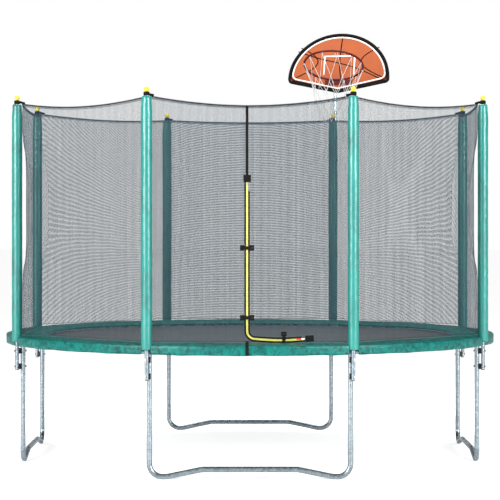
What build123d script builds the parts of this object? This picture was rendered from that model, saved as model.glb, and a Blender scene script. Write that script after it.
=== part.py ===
from build123d import *
import math
import os

# Backyard trampoline with an enclosure net and a basketball hoop. Millimetres, +Z up, the ground at Z = 0,
# the trampoline's axis on Z and the door facing -Y.

# Top ring
SIDES = 8
SIDE_ANGLE = 360 / SIDES
FRAME_RADIUS = 1810.0
RAIL_HEIGHT = 885.0
RAIL_RADIUS = 19.0
RAIL_WALL = 1.8
RAIL_END_GAP = 3.0
SLIDING_FIT = 0.2
TEE_WALL = 2.8
TEE_HALF_LENGTH = 70.0
STUB_LENGTH = 60.0
STUB_WALL = 1.6
SCREW_RADIUS = 2.2
SCREW_LENGTH = 10.0
SCREW_HEAD_RADIUS = 5.0
SCREW_HEAD_HEIGHT = 2.5
SCREW_OFFSET = 45.0
HOLE_CLEARANCE = 0.3

# Legs
EXTENSION_RADIUS = 18.0
EXTENSION_WALL = 1.5
BASE_RADIUS = 19.0
BASE_WALL = 1.6
LEG_JOINT_HEIGHT = 205.0
LEG_TEE_GAP = 1.0
SPIGOT_LENGTH = 80.0
SPIGOT_CONE = 6.0
BASE_CORNER_RADIUS = 90.0
FOOT_INSET = 118.0
RAMP_LENGTH = 246.0
RAMP_RISE = 50.0
RAMP_BEND_RADIUS = 150.0

# Net poles
POLE_OFFSET = 45.5
POLE_RADIUS = 14.0
POLE_WALL = 1.5
POLE_TOP = 2654.0
POLE_JOINT_HEIGHT = POLE_TOP - 1004.0
POLE_BOTTOM = RAIL_HEIGHT - 198.0
CLAMP_HEIGHTS = (RAIL_HEIGHT - 174.0, RAIL_HEIGHT - 60.0)
BOLT_RADIUS = 4.0
BOLT_HEAD_RADIUS = 7.5
BOLT_HEAD_HEIGHT = 5.3
NUT_HEIGHT = 6.5
NUT_ACROSS_RADIUS = 7.5
BOLT_TAIL = 2.0
WASHER_RADIUS = 8.5
WASHER_HEIGHT = 1.6
SADDLE_WIDTH = 30.0
SADDLE_HEIGHT = 40.0
SADDLE_REACH = 6.0
PLUG_CAP_HEIGHT = 4.0
PLUG_DEPTH = 16.0
PLUG_FILLET = 1.5
SLEEVE_RADIUS = 33.0
SLEEVE_NECK_RADIUS = 29.0
SLEEVE_NECK_LENGTH = 80.0
SLEEVE_TAPER = 20.0
SLEEVE_BOTTOM = RAIL_HEIGHT + 8.0
SLEEVE_TOP_GAP = 2.0
SLEEVE_BORE_CLEARANCE = 0.4
SLEEVE_TEE_CLEARANCE = 0.5
COLLAR_RADIUS = 19.0
COLLAR_HEIGHT = 27.0
COLLAR_LAP = 14.0
BALL_RADIUS = 19.0
BALL_STEM_RADIUS = 8.0
BALL_STEM_LENGTH = 12.0
BALL_SEAT = 1.0
BALL_STEM_LAP = 2.0

# Jumping bed
BED_GAP = 230.0
MAT_THICKNESS = 3.0
WEBBING_WIDTH = 45.0
WEBBING_OVERHANG = 5.0
WEBBING_THICKNESS = 4.0
SPRING_RISE = 10.0
V_RING_INSET = 13.0
V_RING_DEPTH = 45.0
V_RING_HALF_WIDTH = 17.0
V_RING_WIRE = 2.0
V_RING_BEND = 5.0
SPRINGS_PER_SIDE = 9
COIL_RADIUS = 11.0
COIL_WALL = 2.8
COIL_LENGTH = 110.0
END_TURN = 3.0
END_BAR = 4.5
HOOK_WIRE = 1.75
HOOK_BEND = 4.0
HOOK_DROP = 8.0
HOOK_CLEARANCE = 1.5
SPRING_HOLE_RADIUS = 4.5

# Safety pad
PAD_INSET = 265.0
PAD_OVERHANG = 56.0
PAD_CLEARANCE = 5.0
PAD_THICKNESS = 33.0
PAD_EDGE_THICKNESS = 10.0
PAD_OUTER_THICKNESS = 14.0
SKIRT_DROP = 51.0
SKIRT_THICKNESS = 4.0
PAD_SEAM_GAP = 0.5
NOTCH_CLEARANCE = 4.0
TIE_ANGLE = 12.5
TIE_WIDTH = 20.0
TIE_THICKNESS = 1.5
TIE_TAB_THICKNESS = 4.0

# Enclosure net
NET_THICKNESS = 3.0
NET_CORNER_CLEARANCE = 6.0
NET_PAD_GAP = 2.0
NET_TOP = POLE_TOP - 9.0
NET_MITRE_GAP = 0.2
HEM_SAGS = {0: 68.0, 1: 46.0, 2: 30.0, 3: 26.0, 4: 20.0, 5: 26.0, 6: 30.0, 7: 46.0}
HEM_CORD_RADIUS = 3.0
HEM_CORD_DROP = 8.0
HEM_CORD_END = 68.0
LOOP_WING_LENGTH = 62.0
LOOP_WING_HEIGHT = 38.0
LOOP_WING_DROP = 23.0
LOOP_RING_HEIGHT = 22.0
LOOP_RING_RISE = 3.0
LOOP_NECK_TRIM = 2.0
LOOP_THICKNESS = 2.0
SURFACE_GAP = 0.3

# Door, drawn on the front panel as X to the right and Z up
ZIP_X = -20.0
ZIP_RISE = 21.0
ZIP_BELOW_HEM = 527.0
ZIP_END = 380.0
FOLD_DROP = 3.0
FIXED_TAPE_OVERRUN = 8.0
ZIP_CORNER_RADIUS = 55.0
ZIP_HALF_GAP = 1.2
FOLD_GAP = 4.0
TAPE_HALF_WIDTH = 19.0
TAPE_THICKNESS = 2.0
SLIDER_LENGTH = 16.0
SLIDER_HEIGHT = 12.0
SLIDER_PLATE = 1.8
SLIDER_POST = 1.8
SLIDER_END_CLEARANCE = 1.0
SLIDER_POST_LENGTH = 8.0
SLIDER_FLAP_CLEARANCE = 1.0
PULL_EYE_INSET = 3.0
PULL_LENGTH = 56.0
PULL_HEIGHT = 16.0
PULL_THICKNESS = 1.6
PULL_POST_RADIUS = 1.2
STRAP_WIDTH = 22.0
STRAP_THICKNESS = 2.5
STRAP_GAP = 0.8
STRAP_END_GAP = 4.0
SEAM_WIDTH = 8.0
SEAM_THICKNESS = 1.5
SEAM_HEM_DISTANCE = 52.0
SEAM_ZIP_GAP = 12.0

# Press-stud latches over the zip: place along the zip, and the base's length beside it
LATCHES_BELOW_HEM = (983.0, 1463.0)
LATCH_ON_SILL = 233.0
LATCH_PATCH_LENGTH = 37.0
LATCH_SILL_BASE = 10.0
LATCH_SILL_GAP = 10.0
LATCH_PATCH_WIDTH = 24.0
LATCH_STRAP_WIDTH = 20.0
LATCH_HEIGHT = 6.0
LATCH_STRAP_THICKNESS = 2.0
LATCH_HINGE_GAP = 1.4
LATCH_ROOT_LENGTH = 8.0
LATCH_ROOT_HEIGHT = 7.0
LATCH_PATCH_RISE = 1.0
LATCH_EDGE_GAP = 1.0
LATCH_END_LAP = 2.0
STUD_RADIUS = 4.0
STUD_CAP_RADIUS = 6.5
STUD_CAP_HEIGHT = 2.2

# Basketball hoop on the rear right pole
HOOP_POLE = 1
MAST_OFFSET = 60.5
MAST_RADIUS = 14.0
MAST_WALL = 1.5
MAST_BOTTOM = POLE_TOP - 404.0
MAST_TOP = POLE_TOP + 596.0
POLE_CLAMP_HEIGHTS = (POLE_TOP - 354.0, POLE_TOP - 154.0)
CLAMP_BAND = 4.0
CLAMP_HEIGHT = 30.0
CLAMP_WEB_WIDTH = 24.0
BOARD_FROM_MAST = (7.0, -270.0)
BOARD_BOTTOM = POLE_TOP + 216.0
BOARD_YAW = 10.0
BOARD_TILT = 25.0
BOARD_HALF_WIDTH = 430.0
BOARD_HEIGHT = 570.0
BOARD_SIDE_RISE = 100.0
BOARD_CORNER_RADIUS = 40.0
BOARD_THICKNESS = 12.0
TRIM_WIDTH = 22.0
TRIM_WALL = 3.0
TRIM_GROOVE = 12.0
RIM_RADIUS = 244.0
RIM_WIRE = 9.0
RIM_REACH = 320.0
RIM_HEIGHT = 80.0
RIM_PLATE_WIDTH = 230.0
RIM_PLATE_HEIGHT = 50.0
RIM_PLATE_THICKNESS = 4.0
RIM_ARM_OFFSET = 60.0
RIM_ARM_RADIUS = 7.0
RIM_HOOKS = 12
RIM_HOOK_RADIUS = 7.0
RIM_HOOK_WIRE = 1.8
HOOP_NET_BOTTOM = POLE_TOP - 42.0
HOOP_NET_WAIST_RISE = 0.45
HOOP_NET_RADII = (232.0, 160.0, 120.0)
HOOP_NET_THICKNESS = 3.0
HOOP_NET_GAP = 2.0
BRACKET_HEIGHTS = (BOARD_BOTTOM + 85.0, BOARD_BOTTOM + 335.0)
BRACKET_BAR = (8.0, 30.0)
FLANGE_SIZE = (110.0, 44.0)
FLANGE_THICKNESS = 4.0
BOARD_BOLT_RADIUS = 3.0
BOARD_BOLT_HEAD_RADIUS = 6.5
BOARD_BOLT_HEAD_HEIGHT = 3.6
BOARD_BOLT_DOME = 0.6
BOARD_BOLT_OFFSET = 42.0
BOARD_NUT_HEIGHT = 5.0

# Places worked out from the sizes above
POLE_CIRCLE = FRAME_RADIUS + POLE_OFFSET
SLEEVE_TOP = POLE_TOP - COLLAR_LAP - SLEEVE_TOP_GAP
TEE_BORE = RAIL_RADIUS + SLIDING_FIT
TEE_RADIUS = TEE_BORE + TEE_WALL
TEE_BOTTOM = RAIL_HEIGHT - TEE_RADIUS
STUB_RADIUS = EXTENSION_RADIUS - EXTENSION_WALL - SLIDING_FIT
CORNER_ANGLES = [SIDE_ANGLE * (side + 0.5) for side in range(SIDES)]
MAT_RADIUS = FRAME_RADIUS - BED_GAP
SPRING_HEIGHT = RAIL_HEIGHT + SPRING_RISE
WEBBING_BOTTOM = SPRING_HEIGHT - WEBBING_THICKNESS / 2
MAT_BOTTOM = WEBBING_BOTTOM + WEBBING_THICKNESS
WEBBING_OUTER = MAT_RADIUS + WEBBING_OVERHANG
V_RING_BASE = WEBBING_OUTER - V_RING_INSET
V_RING_TIP = V_RING_BASE + V_RING_DEPTH
PAD_INNER = FRAME_RADIUS - PAD_INSET
PAD_OUTER = FRAME_RADIUS + PAD_OVERHANG
PAD_BOTTOM = RAIL_HEIGHT + TEE_RADIUS + PAD_CLEARANCE
PAD_CROWN = PAD_BOTTOM + PAD_THICKNESS
NET_CORNER = POLE_CIRCLE - SLEEVE_RADIUS - NET_CORNER_CLEARANCE
NET_OUTER = NET_CORNER * math.cos(math.radians(SIDE_ANGLE / 2))
NET_INNER = NET_OUTER - NET_THICKNESS
NET_HALF_WIDTH = NET_OUTER * math.tan(math.radians(SIDE_ANGLE / 2))
NET_BOTTOM = PAD_CROWN + NET_PAD_GAP
TAPE_FACE = NET_OUTER + SURFACE_GAP + TAPE_THICKNESS
HEM_MIDDLE = NET_TOP - HEM_SAGS[0]
ZIP_Z = NET_BOTTOM + ZIP_RISE
ZIP_TOP = HEM_MIDDLE - ZIP_BELOW_HEM
FOLD_TOP = (ZIP_X, ZIP_TOP)
FOLD_END = (ZIP_END, ZIP_Z - FOLD_DROP)
LATCHES_ON_UPRIGHT = tuple(HEM_MIDDLE - drop for drop in LATCHES_BELOW_HEM)


def rounded_tube(radius, wall, low, high):
    """A straight upright tube on the Z axis."""
    ring = Circle(radius) - Circle(radius - wall)
    return extrude(Pos(0, 0, low) * ring, amount=high - low)


def rod(radius, low, high):
    """A solid round bar on the Z axis."""
    return extrude(Pos(0, 0, low) * Circle(radius), amount=high - low)


def spigot_tube(radius, wall, low, high, spigot_radius):
    """A tube whose lower end is swaged down to slide into the tube below it."""
    bore = spigot_radius - wall
    outline = Polyline(
        (bore, low - SPIGOT_LENGTH),
        (spigot_radius, low - SPIGOT_LENGTH),
        (spigot_radius, low),
        (radius, low + SPIGOT_CONE),
        (radius, high),
        (radius - wall, high),
        (radius - wall, low + SPIGOT_CONE),
        (bore, low),
        close=True,
    )
    return revolve(Plane.XZ * make_face(outline), Axis.Z)


def ring_arc(section_radius, bore_radius, height, degrees, radius=FRAME_RADIUS):
    """A tube bent round the Z axis, centred on +X and spanning the given angle."""
    section = Circle(section_radius)
    if bore_radius:
        section -= Circle(bore_radius)
    arc = revolve(Plane.XZ * Pos(radius, height) * section, Axis.Z, degrees)
    return Rot(0, 0, -degrees / 2) * arc


def arc_angle(length, radius=FRAME_RADIUS):
    """The angle in degrees that an arc of this length takes on a circle of this radius."""
    return math.degrees(length / radius)


def radial_rod(radius, inner, outer, height):
    """A round bar along +X at a height, from one radius of the trampoline to another."""
    bar = extrude(Circle(radius), amount=outer - inner)
    return Pos(inner, 0, height) * Rot(0, 90, 0) * bar


def hexagon(across_radius, height):
    """A hexagonal prism standing on the XY plane."""
    return extrude(RegularPolygon(across_radius, 6), amount=height)


def wire(points, radius, bend):
    """A round wire along straight runs joined by tangent bends."""
    path = FilletPolyline(*points, radius=bend)
    return sweep(Plane(origin=path @ 0, z_dir=path % 0) * Circle(radius), path=path)


def around(shape, angles):
    """Copies of a shape turned about the trampoline's axis."""
    return [Rot(0, 0, angle) * shape for angle in angles]


def export(name, shapes):
    """Write one node as a STEP file."""
    solids = [solid for shape in shapes for solid in shape.solids()]
    export_step(Compound(solids) if len(solids) > 1 else solids[0], f"parts/{name}.step")


# Top ring and legs

def rail_segment():
    """One curved rail between two tees, with a slot hole for each spring hook."""
    span = SIDE_ANGLE - arc_angle(2 * RAIL_END_GAP)
    rail = ring_arc(RAIL_RADIUS, RAIL_RADIUS - RAIL_WALL, RAIL_HEIGHT, span)
    hole = radial_rod(SPRING_HOLE_RADIUS, FRAME_RADIUS - 2 * RAIL_RADIUS, FRAME_RADIUS - RAIL_RADIUS / 2, SPRING_HEIGHT)
    for angle in spring_angles():
        rail -= Rot(0, 0, angle) * hole
    for corner in (-SIDE_ANGLE / 2, SIDE_ANGLE / 2):
        for screw_hole in screw_places(screw_cutter()):
            rail -= Rot(0, 0, corner) * screw_hole
    return rail


def spring_angles():
    """The angles of one side's springs, from the middle of the side."""
    pitch = SIDE_ANGLE / SPRINGS_PER_SIDE
    return [pitch * (place - (SPRINGS_PER_SIDE - 1) / 2) for place in range(SPRINGS_PER_SIDE)]


def screw_cutter():
    """The hole that a tee screw needs."""
    return radial_rod(SCREW_RADIUS + HOLE_CLEARANCE, FRAME_RADIUS + RAIL_RADIUS / 2, FRAME_RADIUS + 2 * RAIL_RADIUS,
                      RAIL_HEIGHT)


def screw_places(shape):
    """A tee's two screws, one in each rail."""
    turn = arc_angle(SCREW_OFFSET)
    return [Rot(0, 0, -turn) * shape, Rot(0, 0, turn) * shape]


def frame_screw():
    """A pan-head screw through the tee into the rail, its head on the tee."""
    seat = FRAME_RADIUS + TEE_RADIUS
    shank = radial_rod(SCREW_RADIUS, seat - SCREW_LENGTH, seat + SCREW_HEAD_HEIGHT, RAIL_HEIGHT)
    head = radial_rod(SCREW_HEAD_RADIUS, seat, seat + SCREW_HEAD_HEIGHT, RAIL_HEIGHT)
    return shank + head


def clamp_cutter():
    """The holes for both pole bolts, through leg, saddle and pole."""
    inner = FRAME_RADIUS - 2 * EXTENSION_RADIUS
    outer = POLE_CIRCLE + 2 * POLE_RADIUS
    holes = [radial_rod(BOLT_RADIUS + HOLE_CLEARANCE, inner, outer, height) for height in CLAMP_HEIGHTS]
    return holes[0] + holes[1]


def rail_tee():
    """A sleeve over two rail ends, with a stub that enters the leg."""
    span = arc_angle(2 * TEE_HALF_LENGTH)
    sleeve = ring_arc(TEE_RADIUS, 0, RAIL_HEIGHT, span)
    stub = Pos(FRAME_RADIUS, 0, 0) * rounded_tube(STUB_RADIUS, STUB_WALL, TEE_BOTTOM - STUB_LENGTH, RAIL_HEIGHT)
    tee = sleeve + stub - ring_arc(TEE_BORE, 0, RAIL_HEIGHT, span + 1)
    for screw_hole in screw_places(screw_cutter()):
        tee -= screw_hole
    return tee - clamp_cutter()


def leg_extension():
    """The upper leg tube: the tee's stub enters its top, and its swaged foot enters the base."""
    tube = spigot_tube(EXTENSION_RADIUS, EXTENSION_WALL, LEG_JOINT_HEIGHT, TEE_BOTTOM - LEG_TEE_GAP,
                       BASE_RADIUS - BASE_WALL - SLIDING_FIT)
    return Pos(FRAME_RADIUS, 0, 0) * tube - clamp_cutter()


def leg_base():
    """One W-shaped base on the +X side: two uprights, two feet on the ground and a raised middle."""
    reach = FRAME_RADIUS * math.sin(math.radians(SIDE_ANGLE / 2))
    depth = FRAME_RADIUS * math.cos(math.radians(SIDE_ANGLE / 2))
    foot = reach - FOOT_INSET
    middle = foot - RAMP_LENGTH
    half = [(reach, LEG_JOINT_HEIGHT), (reach, BASE_RADIUS), (foot, BASE_RADIUS), (middle, BASE_RADIUS + RAMP_RISE)]
    points = [(depth, -y, z) for y, z in half] + [(depth, y, z) for y, z in reversed(half)]
    bends = [BASE_CORNER_RADIUS, RAMP_BEND_RADIUS, RAMP_BEND_RADIUS]
    path = FilletPolyline(*points, radius=bends + bends[::-1])
    section = Circle(BASE_RADIUS) - Circle(BASE_RADIUS - BASE_WALL)
    return sweep(Plane(origin=path @ 0, z_dir=path % 0) * section, path=path)


# Net poles

def net_pole():
    """The lower and the upper pole tube, the upper one's swaged end in the lower one."""
    lower = rounded_tube(POLE_RADIUS, POLE_WALL, POLE_BOTTOM, POLE_JOINT_HEIGHT)
    upper = spigot_tube(POLE_RADIUS, POLE_WALL, POLE_JOINT_HEIGHT, POLE_TOP, POLE_RADIUS - POLE_WALL - SLIDING_FIT)
    return [Pos(POLE_CIRCLE, 0, 0) * lower - clamp_cutter(), Pos(POLE_CIRCLE, 0, 0) * upper]


def end_plug():
    """The plastic plug in the pole's lower end."""
    cap = rod(POLE_RADIUS, POLE_BOTTOM - PLUG_CAP_HEIGHT, POLE_BOTTOM)
    stem = rod(POLE_RADIUS - POLE_WALL - SLIDING_FIT, POLE_BOTTOM, POLE_BOTTOM + PLUG_DEPTH)
    return Pos(POLE_CIRCLE, 0, 0) * fillet((cap + stem).edges().group_by(Axis.Z)[0], PLUG_FILLET)


def saddle():
    """The spacer between leg and pole, hollowed to fit both tubes."""
    leg_face = FRAME_RADIUS + EXTENSION_RADIUS
    pole_face = POLE_CIRCLE - POLE_RADIUS
    length = pole_face - leg_face + 2 * SADDLE_REACH
    middle = (leg_face + pole_face) / 2
    leg = Pos(FRAME_RADIUS, 0, 0) * Cylinder(EXTENSION_RADIUS + SLIDING_FIT, 2 * SADDLE_HEIGHT)
    pole = Pos(POLE_CIRCLE, 0, 0) * Cylinder(POLE_RADIUS + SLIDING_FIT, 2 * SADDLE_HEIGHT)
    bolt_hole = radial_rod(BOLT_RADIUS + HOLE_CLEARANCE, FRAME_RADIUS, POLE_CIRCLE, 0)
    return Pos(middle, 0, 0) * Box(length, SADDLE_WIDTH, SADDLE_HEIGHT) - leg - pole - bolt_hole


def pole_bolt():
    """A hexagon bolt with its washer against the outside of the pole."""
    seat = POLE_CIRCLE + POLE_RADIUS
    nut_seat = FRAME_RADIUS - EXTENSION_RADIUS - WASHER_HEIGHT
    shank = radial_rod(BOLT_RADIUS, nut_seat - NUT_HEIGHT - BOLT_TAIL, seat + WASHER_HEIGHT, 0)
    washer = radial_rod(WASHER_RADIUS, seat, seat + WASHER_HEIGHT, 0)
    head = Pos(seat + WASHER_HEIGHT, 0, 0) * Rot(0, 90, 0) * hexagon(BOLT_HEAD_RADIUS, BOLT_HEAD_HEIGHT)
    return shank + washer + head


def pole_nut():
    """A flanged nut against the inside of the leg."""
    seat = FRAME_RADIUS - EXTENSION_RADIUS
    flange = radial_rod(WASHER_RADIUS, seat - WASHER_HEIGHT, seat, 0)
    body = Pos(seat - WASHER_HEIGHT - NUT_HEIGHT, 0, 0) * Rot(0, 90, 0) * hexagon(NUT_ACROSS_RADIUS, NUT_HEIGHT)
    return flange + body - radial_rod(BOLT_RADIUS + SLIDING_FIT, seat - 2 * NUT_HEIGHT, seat + 1, 0)


def foam_sleeve():
    """The padded sleeve round the pole, slimmer at its top and hollowed where it rests on the tee."""
    bore = POLE_RADIUS + SLEEVE_BORE_CLEARANCE
    neck = SLEEVE_TOP - SLEEVE_NECK_LENGTH
    outline = Polyline(
        (bore, SLEEVE_BOTTOM),
        (SLEEVE_RADIUS, SLEEVE_BOTTOM),
        (SLEEVE_RADIUS, neck - SLEEVE_TAPER),
        (SLEEVE_NECK_RADIUS, neck),
        (SLEEVE_NECK_RADIUS, SLEEVE_TOP),
        (bore, SLEEVE_TOP),
        close=True,
    )
    sleeve = Pos(POLE_CIRCLE, 0, 0) * revolve(Plane.XZ * make_face(outline), Axis.Z)
    return sleeve - ring_arc(TEE_RADIUS + SLEEVE_TEE_CLEARANCE, 0, RAIL_HEIGHT, arc_angle(4 * TEE_HALF_LENGTH))


def cap_collar():
    """The black cap pushed over the pole's top, with a socket for the ball's stem."""
    bottom = POLE_TOP - COLLAR_LAP
    body = rod(COLLAR_RADIUS, bottom, bottom + COLLAR_HEIGHT)
    body -= rod(POLE_RADIUS + SLIDING_FIT, bottom, POLE_TOP)
    body -= rod(BALL_STEM_RADIUS + SLIDING_FIT, POLE_TOP, bottom + COLLAR_HEIGHT)
    return Pos(POLE_CIRCLE, 0, 0) * body


def cap_ball():
    """The round yellow cap with a stem that sits in the collar."""
    top = POLE_TOP - COLLAR_LAP + COLLAR_HEIGHT
    ball = Pos(0, 0, top + BALL_RADIUS - BALL_SEAT) * Sphere(BALL_RADIUS)
    ball -= Pos(0, 0, top - BALL_RADIUS) * Cylinder(BALL_RADIUS, 2 * BALL_RADIUS)
    return Pos(POLE_CIRCLE, 0, 0) * (ball + rod(BALL_STEM_RADIUS, top - BALL_STEM_LENGTH, top + BALL_STEM_LAP))


# Jumping bed

def jump_mat():
    """The round jumping mat."""
    return rod(MAT_RADIUS, MAT_BOTTOM, MAT_BOTTOM + MAT_THICKNESS)


def mat_webbing():
    """The edge webbing under the mat that holds the V-rings."""
    ring = Circle(WEBBING_OUTER) - Circle(WEBBING_OUTER - WEBBING_WIDTH)
    return extrude(Pos(0, 0, WEBBING_BOTTOM) * ring, amount=WEBBING_THICKNESS)


def v_ring():
    """A bent wire triangle sewn into the webbing, its point outwards."""
    points = [
        (V_RING_BASE, 0, SPRING_HEIGHT),
        (V_RING_BASE, V_RING_HALF_WIDTH, SPRING_HEIGHT),
        (V_RING_TIP, 0, SPRING_HEIGHT),
        (V_RING_BASE, -V_RING_HALF_WIDTH, SPRING_HEIGHT),
        (V_RING_BASE, -0.01, SPRING_HEIGHT),
    ]
    return wire(points, V_RING_WIRE, V_RING_BEND)


def tip_radius():
    """Where the V-ring's bent point really lies."""
    half_angle = math.atan2(V_RING_HALF_WIDTH, V_RING_DEPTH)
    return V_RING_TIP - V_RING_BEND / math.sin(half_angle) + V_RING_BEND


def spring():
    """A coil spring from a V-ring to the rail: the coil's envelope, and a hooked wire at each end."""
    rail_face = FRAME_RADIUS - math.sqrt(RAIL_RADIUS ** 2 - SPRING_RISE ** 2)
    coil_start = (tip_radius() + rail_face - COIL_LENGTH) / 2
    coil_end = coil_start + COIL_LENGTH
    clear = V_RING_WIRE + HOOK_WIRE + HOOK_CLEARANCE
    over = SPRING_HEIGHT + clear
    inner_hook = [
        (coil_start + END_TURN, 0, SPRING_HEIGHT),
        (coil_start - COIL_RADIUS, 0, SPRING_HEIGHT),
        (tip_radius() + 2 * clear, 0, over),
        (tip_radius() - clear, 0, over),
        (tip_radius() - clear, 0, over - HOOK_DROP),
    ]
    outer_hook = [
        (coil_end - END_TURN, 0, SPRING_HEIGHT),
        (rail_face + HOOK_DROP, 0, SPRING_HEIGHT),
        (rail_face + HOOK_DROP, 0, SPRING_HEIGHT - HOOK_DROP),
    ]
    coil = extrude(Circle(COIL_RADIUS) - Circle(COIL_RADIUS - COIL_WALL), amount=COIL_LENGTH)
    for middle in (END_TURN, COIL_LENGTH - END_TURN):
        coil += Pos(0, 0, middle) * Box(END_BAR, 2 * COIL_RADIUS - COIL_WALL, END_BAR)
    coil = Pos(coil_start, 0, SPRING_HEIGHT) * Rot(0, 90, 0) * coil
    return coil + wire(inner_hook, HOOK_WIRE, HOOK_BEND) + wire(outer_hook, HOOK_WIRE, HOOK_BEND)


# Safety pad

def pad_profile():
    """The pad's section as radius and height: a crowned foam pad with a thin skirt at its outer edge."""
    outline = [
        Polyline(
            (PAD_INNER, PAD_BOTTOM + PAD_EDGE_THICKNESS),
            (PAD_INNER, PAD_BOTTOM),
            (PAD_OUTER - SKIRT_THICKNESS, PAD_BOTTOM),
            (PAD_OUTER - SKIRT_THICKNESS, PAD_BOTTOM - SKIRT_DROP),
            (PAD_OUTER, PAD_BOTTOM - SKIRT_DROP),
            (PAD_OUTER, PAD_BOTTOM + PAD_OUTER_THICKNESS),
        ),
        ThreePointArc(
            (PAD_OUTER, PAD_BOTTOM + PAD_OUTER_THICKNESS),
            ((PAD_INNER + PAD_OUTER) / 2, PAD_CROWN),
            (PAD_INNER, PAD_BOTTOM + PAD_EDGE_THICKNESS),
        ),
    ]
    return make_face(Curve() + outline)


def safety_pad_sector():
    """One eighth of the pad, notched at both ends round the pole sleeves."""
    span = SIDE_ANGLE - arc_angle(PAD_SEAM_GAP)
    sector = Rot(0, 0, -span / 2) * revolve(Plane.XZ * pad_profile(), Axis.Z, span)
    notch_radius = SLEEVE_RADIUS + NOTCH_CLEARANCE
    notch = Pos(POLE_CIRCLE, 0, 0) * rod(notch_radius, PAD_BOTTOM - 2 * SKIRT_DROP, PAD_CROWN + SKIRT_DROP)
    for corner in (-SIDE_ANGLE / 2, SIDE_ANGLE / 2):
        sector -= Rot(0, 0, corner) * notch
    return sector


def pad_tie():
    """An elastic loop round the rail, joined to the pad by a short tab."""
    bore = RAIL_RADIUS + SLIDING_FIT
    band = ring_arc(bore + TIE_THICKNESS, bore, RAIL_HEIGHT, arc_angle(TIE_WIDTH))
    low = RAIL_HEIGHT + bore + TIE_THICKNESS / 2
    height = PAD_BOTTOM - SURFACE_GAP - low
    return band + Pos(FRAME_RADIUS, 0, low + height / 2) * Box(TIE_TAB_THICKNESS, TIE_WIDTH, height)


# Enclosure net. A panel is drawn on the front side, as X to the right and Z up.

def on_front(sketch, low, high):
    """Extrude a sketch of the front panel between two distances from the trampoline's axis."""
    plane = Plane(origin=(0, -low, 0), x_dir=(1, 0, 0), z_dir=(0, -1, 0))
    return extrude(plane * sketch, amount=high - low)


def rectangle(low_x, low_y, high_x, high_y):
    """A rectangle between two corners."""
    return Pos((low_x + high_x) / 2, (low_y + high_y) / 2) * Rectangle(high_x - low_x, high_y - low_y)


def side_turn(side):
    """The turn that takes the front panel to a side; the front is side 0 and the rear is side 4."""
    return Rot(0, 0, side * SIDE_ANGLE)


def panel_wedge():
    """The eighth of space that belongs to the front panel."""
    reach = 2 * FRAME_RADIUS
    half = reach * math.tan(math.radians(SIDE_ANGLE / 2))
    triangle = make_face(Polyline((0, -NET_MITRE_GAP), (half, -reach), (-half, -reach), close=True))
    return extrude(triangle, amount=2 * NET_TOP)


def net_panel(side):
    """A flat panel whose top hem sags between its poles, still on the front side."""
    sag = HEM_SAGS[side]
    low, high, half = NET_BOTTOM, NET_TOP, NET_HALF_WIDTH + 1
    outline = [
        Polyline((-half, high), (-half, low), (half, low), (half, high)),
        ThreePointArc((half, high), (0, high - sag), (-half, high)),
    ]
    return on_front(make_face(Curve() + outline), NET_INNER, NET_OUTER) & panel_wedge()


def hem_cord(side):
    """The cord along a panel's top hem."""
    reach = NET_HALF_WIDTH - HEM_CORD_END
    sag = HEM_SAGS[side]
    depth = -(NET_OUTER + SURFACE_GAP + HEM_CORD_RADIUS)
    high = NET_TOP - HEM_CORD_DROP - sag * (1 - (reach / NET_HALF_WIDTH) ** 2)
    path = ThreePointArc((-reach, depth, high), (0, depth, NET_TOP - HEM_CORD_DROP - sag), (reach, depth, high))
    return sweep(Plane(origin=path @ 0, z_dir=path % 0) * Circle(HEM_CORD_RADIUS), path=path)


def corner_loop():
    """A band round the collar and two wings along the hems that meet at the corner, on +X."""
    bottom = POLE_TOP - COLLAR_LAP + LOOP_RING_RISE
    bore = COLLAR_RADIUS + SURFACE_GAP
    ring = rounded_tube(bore + LOOP_THICKNESS, LOOP_THICKNESS, bottom, bottom + LOOP_RING_HEIGHT)
    corner = NET_CORNER + SURFACE_GAP
    half_turn = math.radians(SIDE_ANGLE / 2)
    run, side = -LOOP_WING_LENGTH * math.sin(half_turn), LOOP_WING_LENGTH * math.cos(half_turn)
    out, over = LOOP_THICKNESS * math.cos(half_turn), LOOP_THICKNESS * math.sin(half_turn)
    outline = Polyline(
        (corner, 0),
        (corner + run, side),
        (corner + run + out, side + over),
        (corner + LOOP_THICKNESS / math.cos(half_turn), 0),
        (corner + run + out, -side - over),
        (corner + run, -side),
        close=True,
    )
    wings = extrude(Pos(0, 0, NET_TOP - LOOP_WING_DROP) * make_face(outline), amount=LOOP_WING_HEIGHT)
    neck_start = corner + LOOP_THICKNESS / 2
    neck_length = POLE_CIRCLE - bore - LOOP_THICKNESS / 2 - neck_start
    neck = Pos(neck_start + neck_length / 2, 0, bottom + LOOP_RING_HEIGHT / 2) * Box(
        neck_length, 2 * LOOP_THICKNESS, LOOP_RING_HEIGHT - LOOP_NECK_TRIM)
    return wings + neck + Pos(POLE_CIRCLE, 0, 0) * ring


# Door

def inside_zip(inset):
    """All of the front panel that lies inside the zip's L line, moved in by an inset."""
    far = 2 * NET_TOP
    area = rectangle(ZIP_X + inset, ZIP_Z + inset, far, far)
    corner = area.vertices().sort_by_distance((ZIP_X + inset, ZIP_Z + inset, 0))[0]
    return fillet(corner, ZIP_CORNER_RADIUS - inset)


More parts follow.
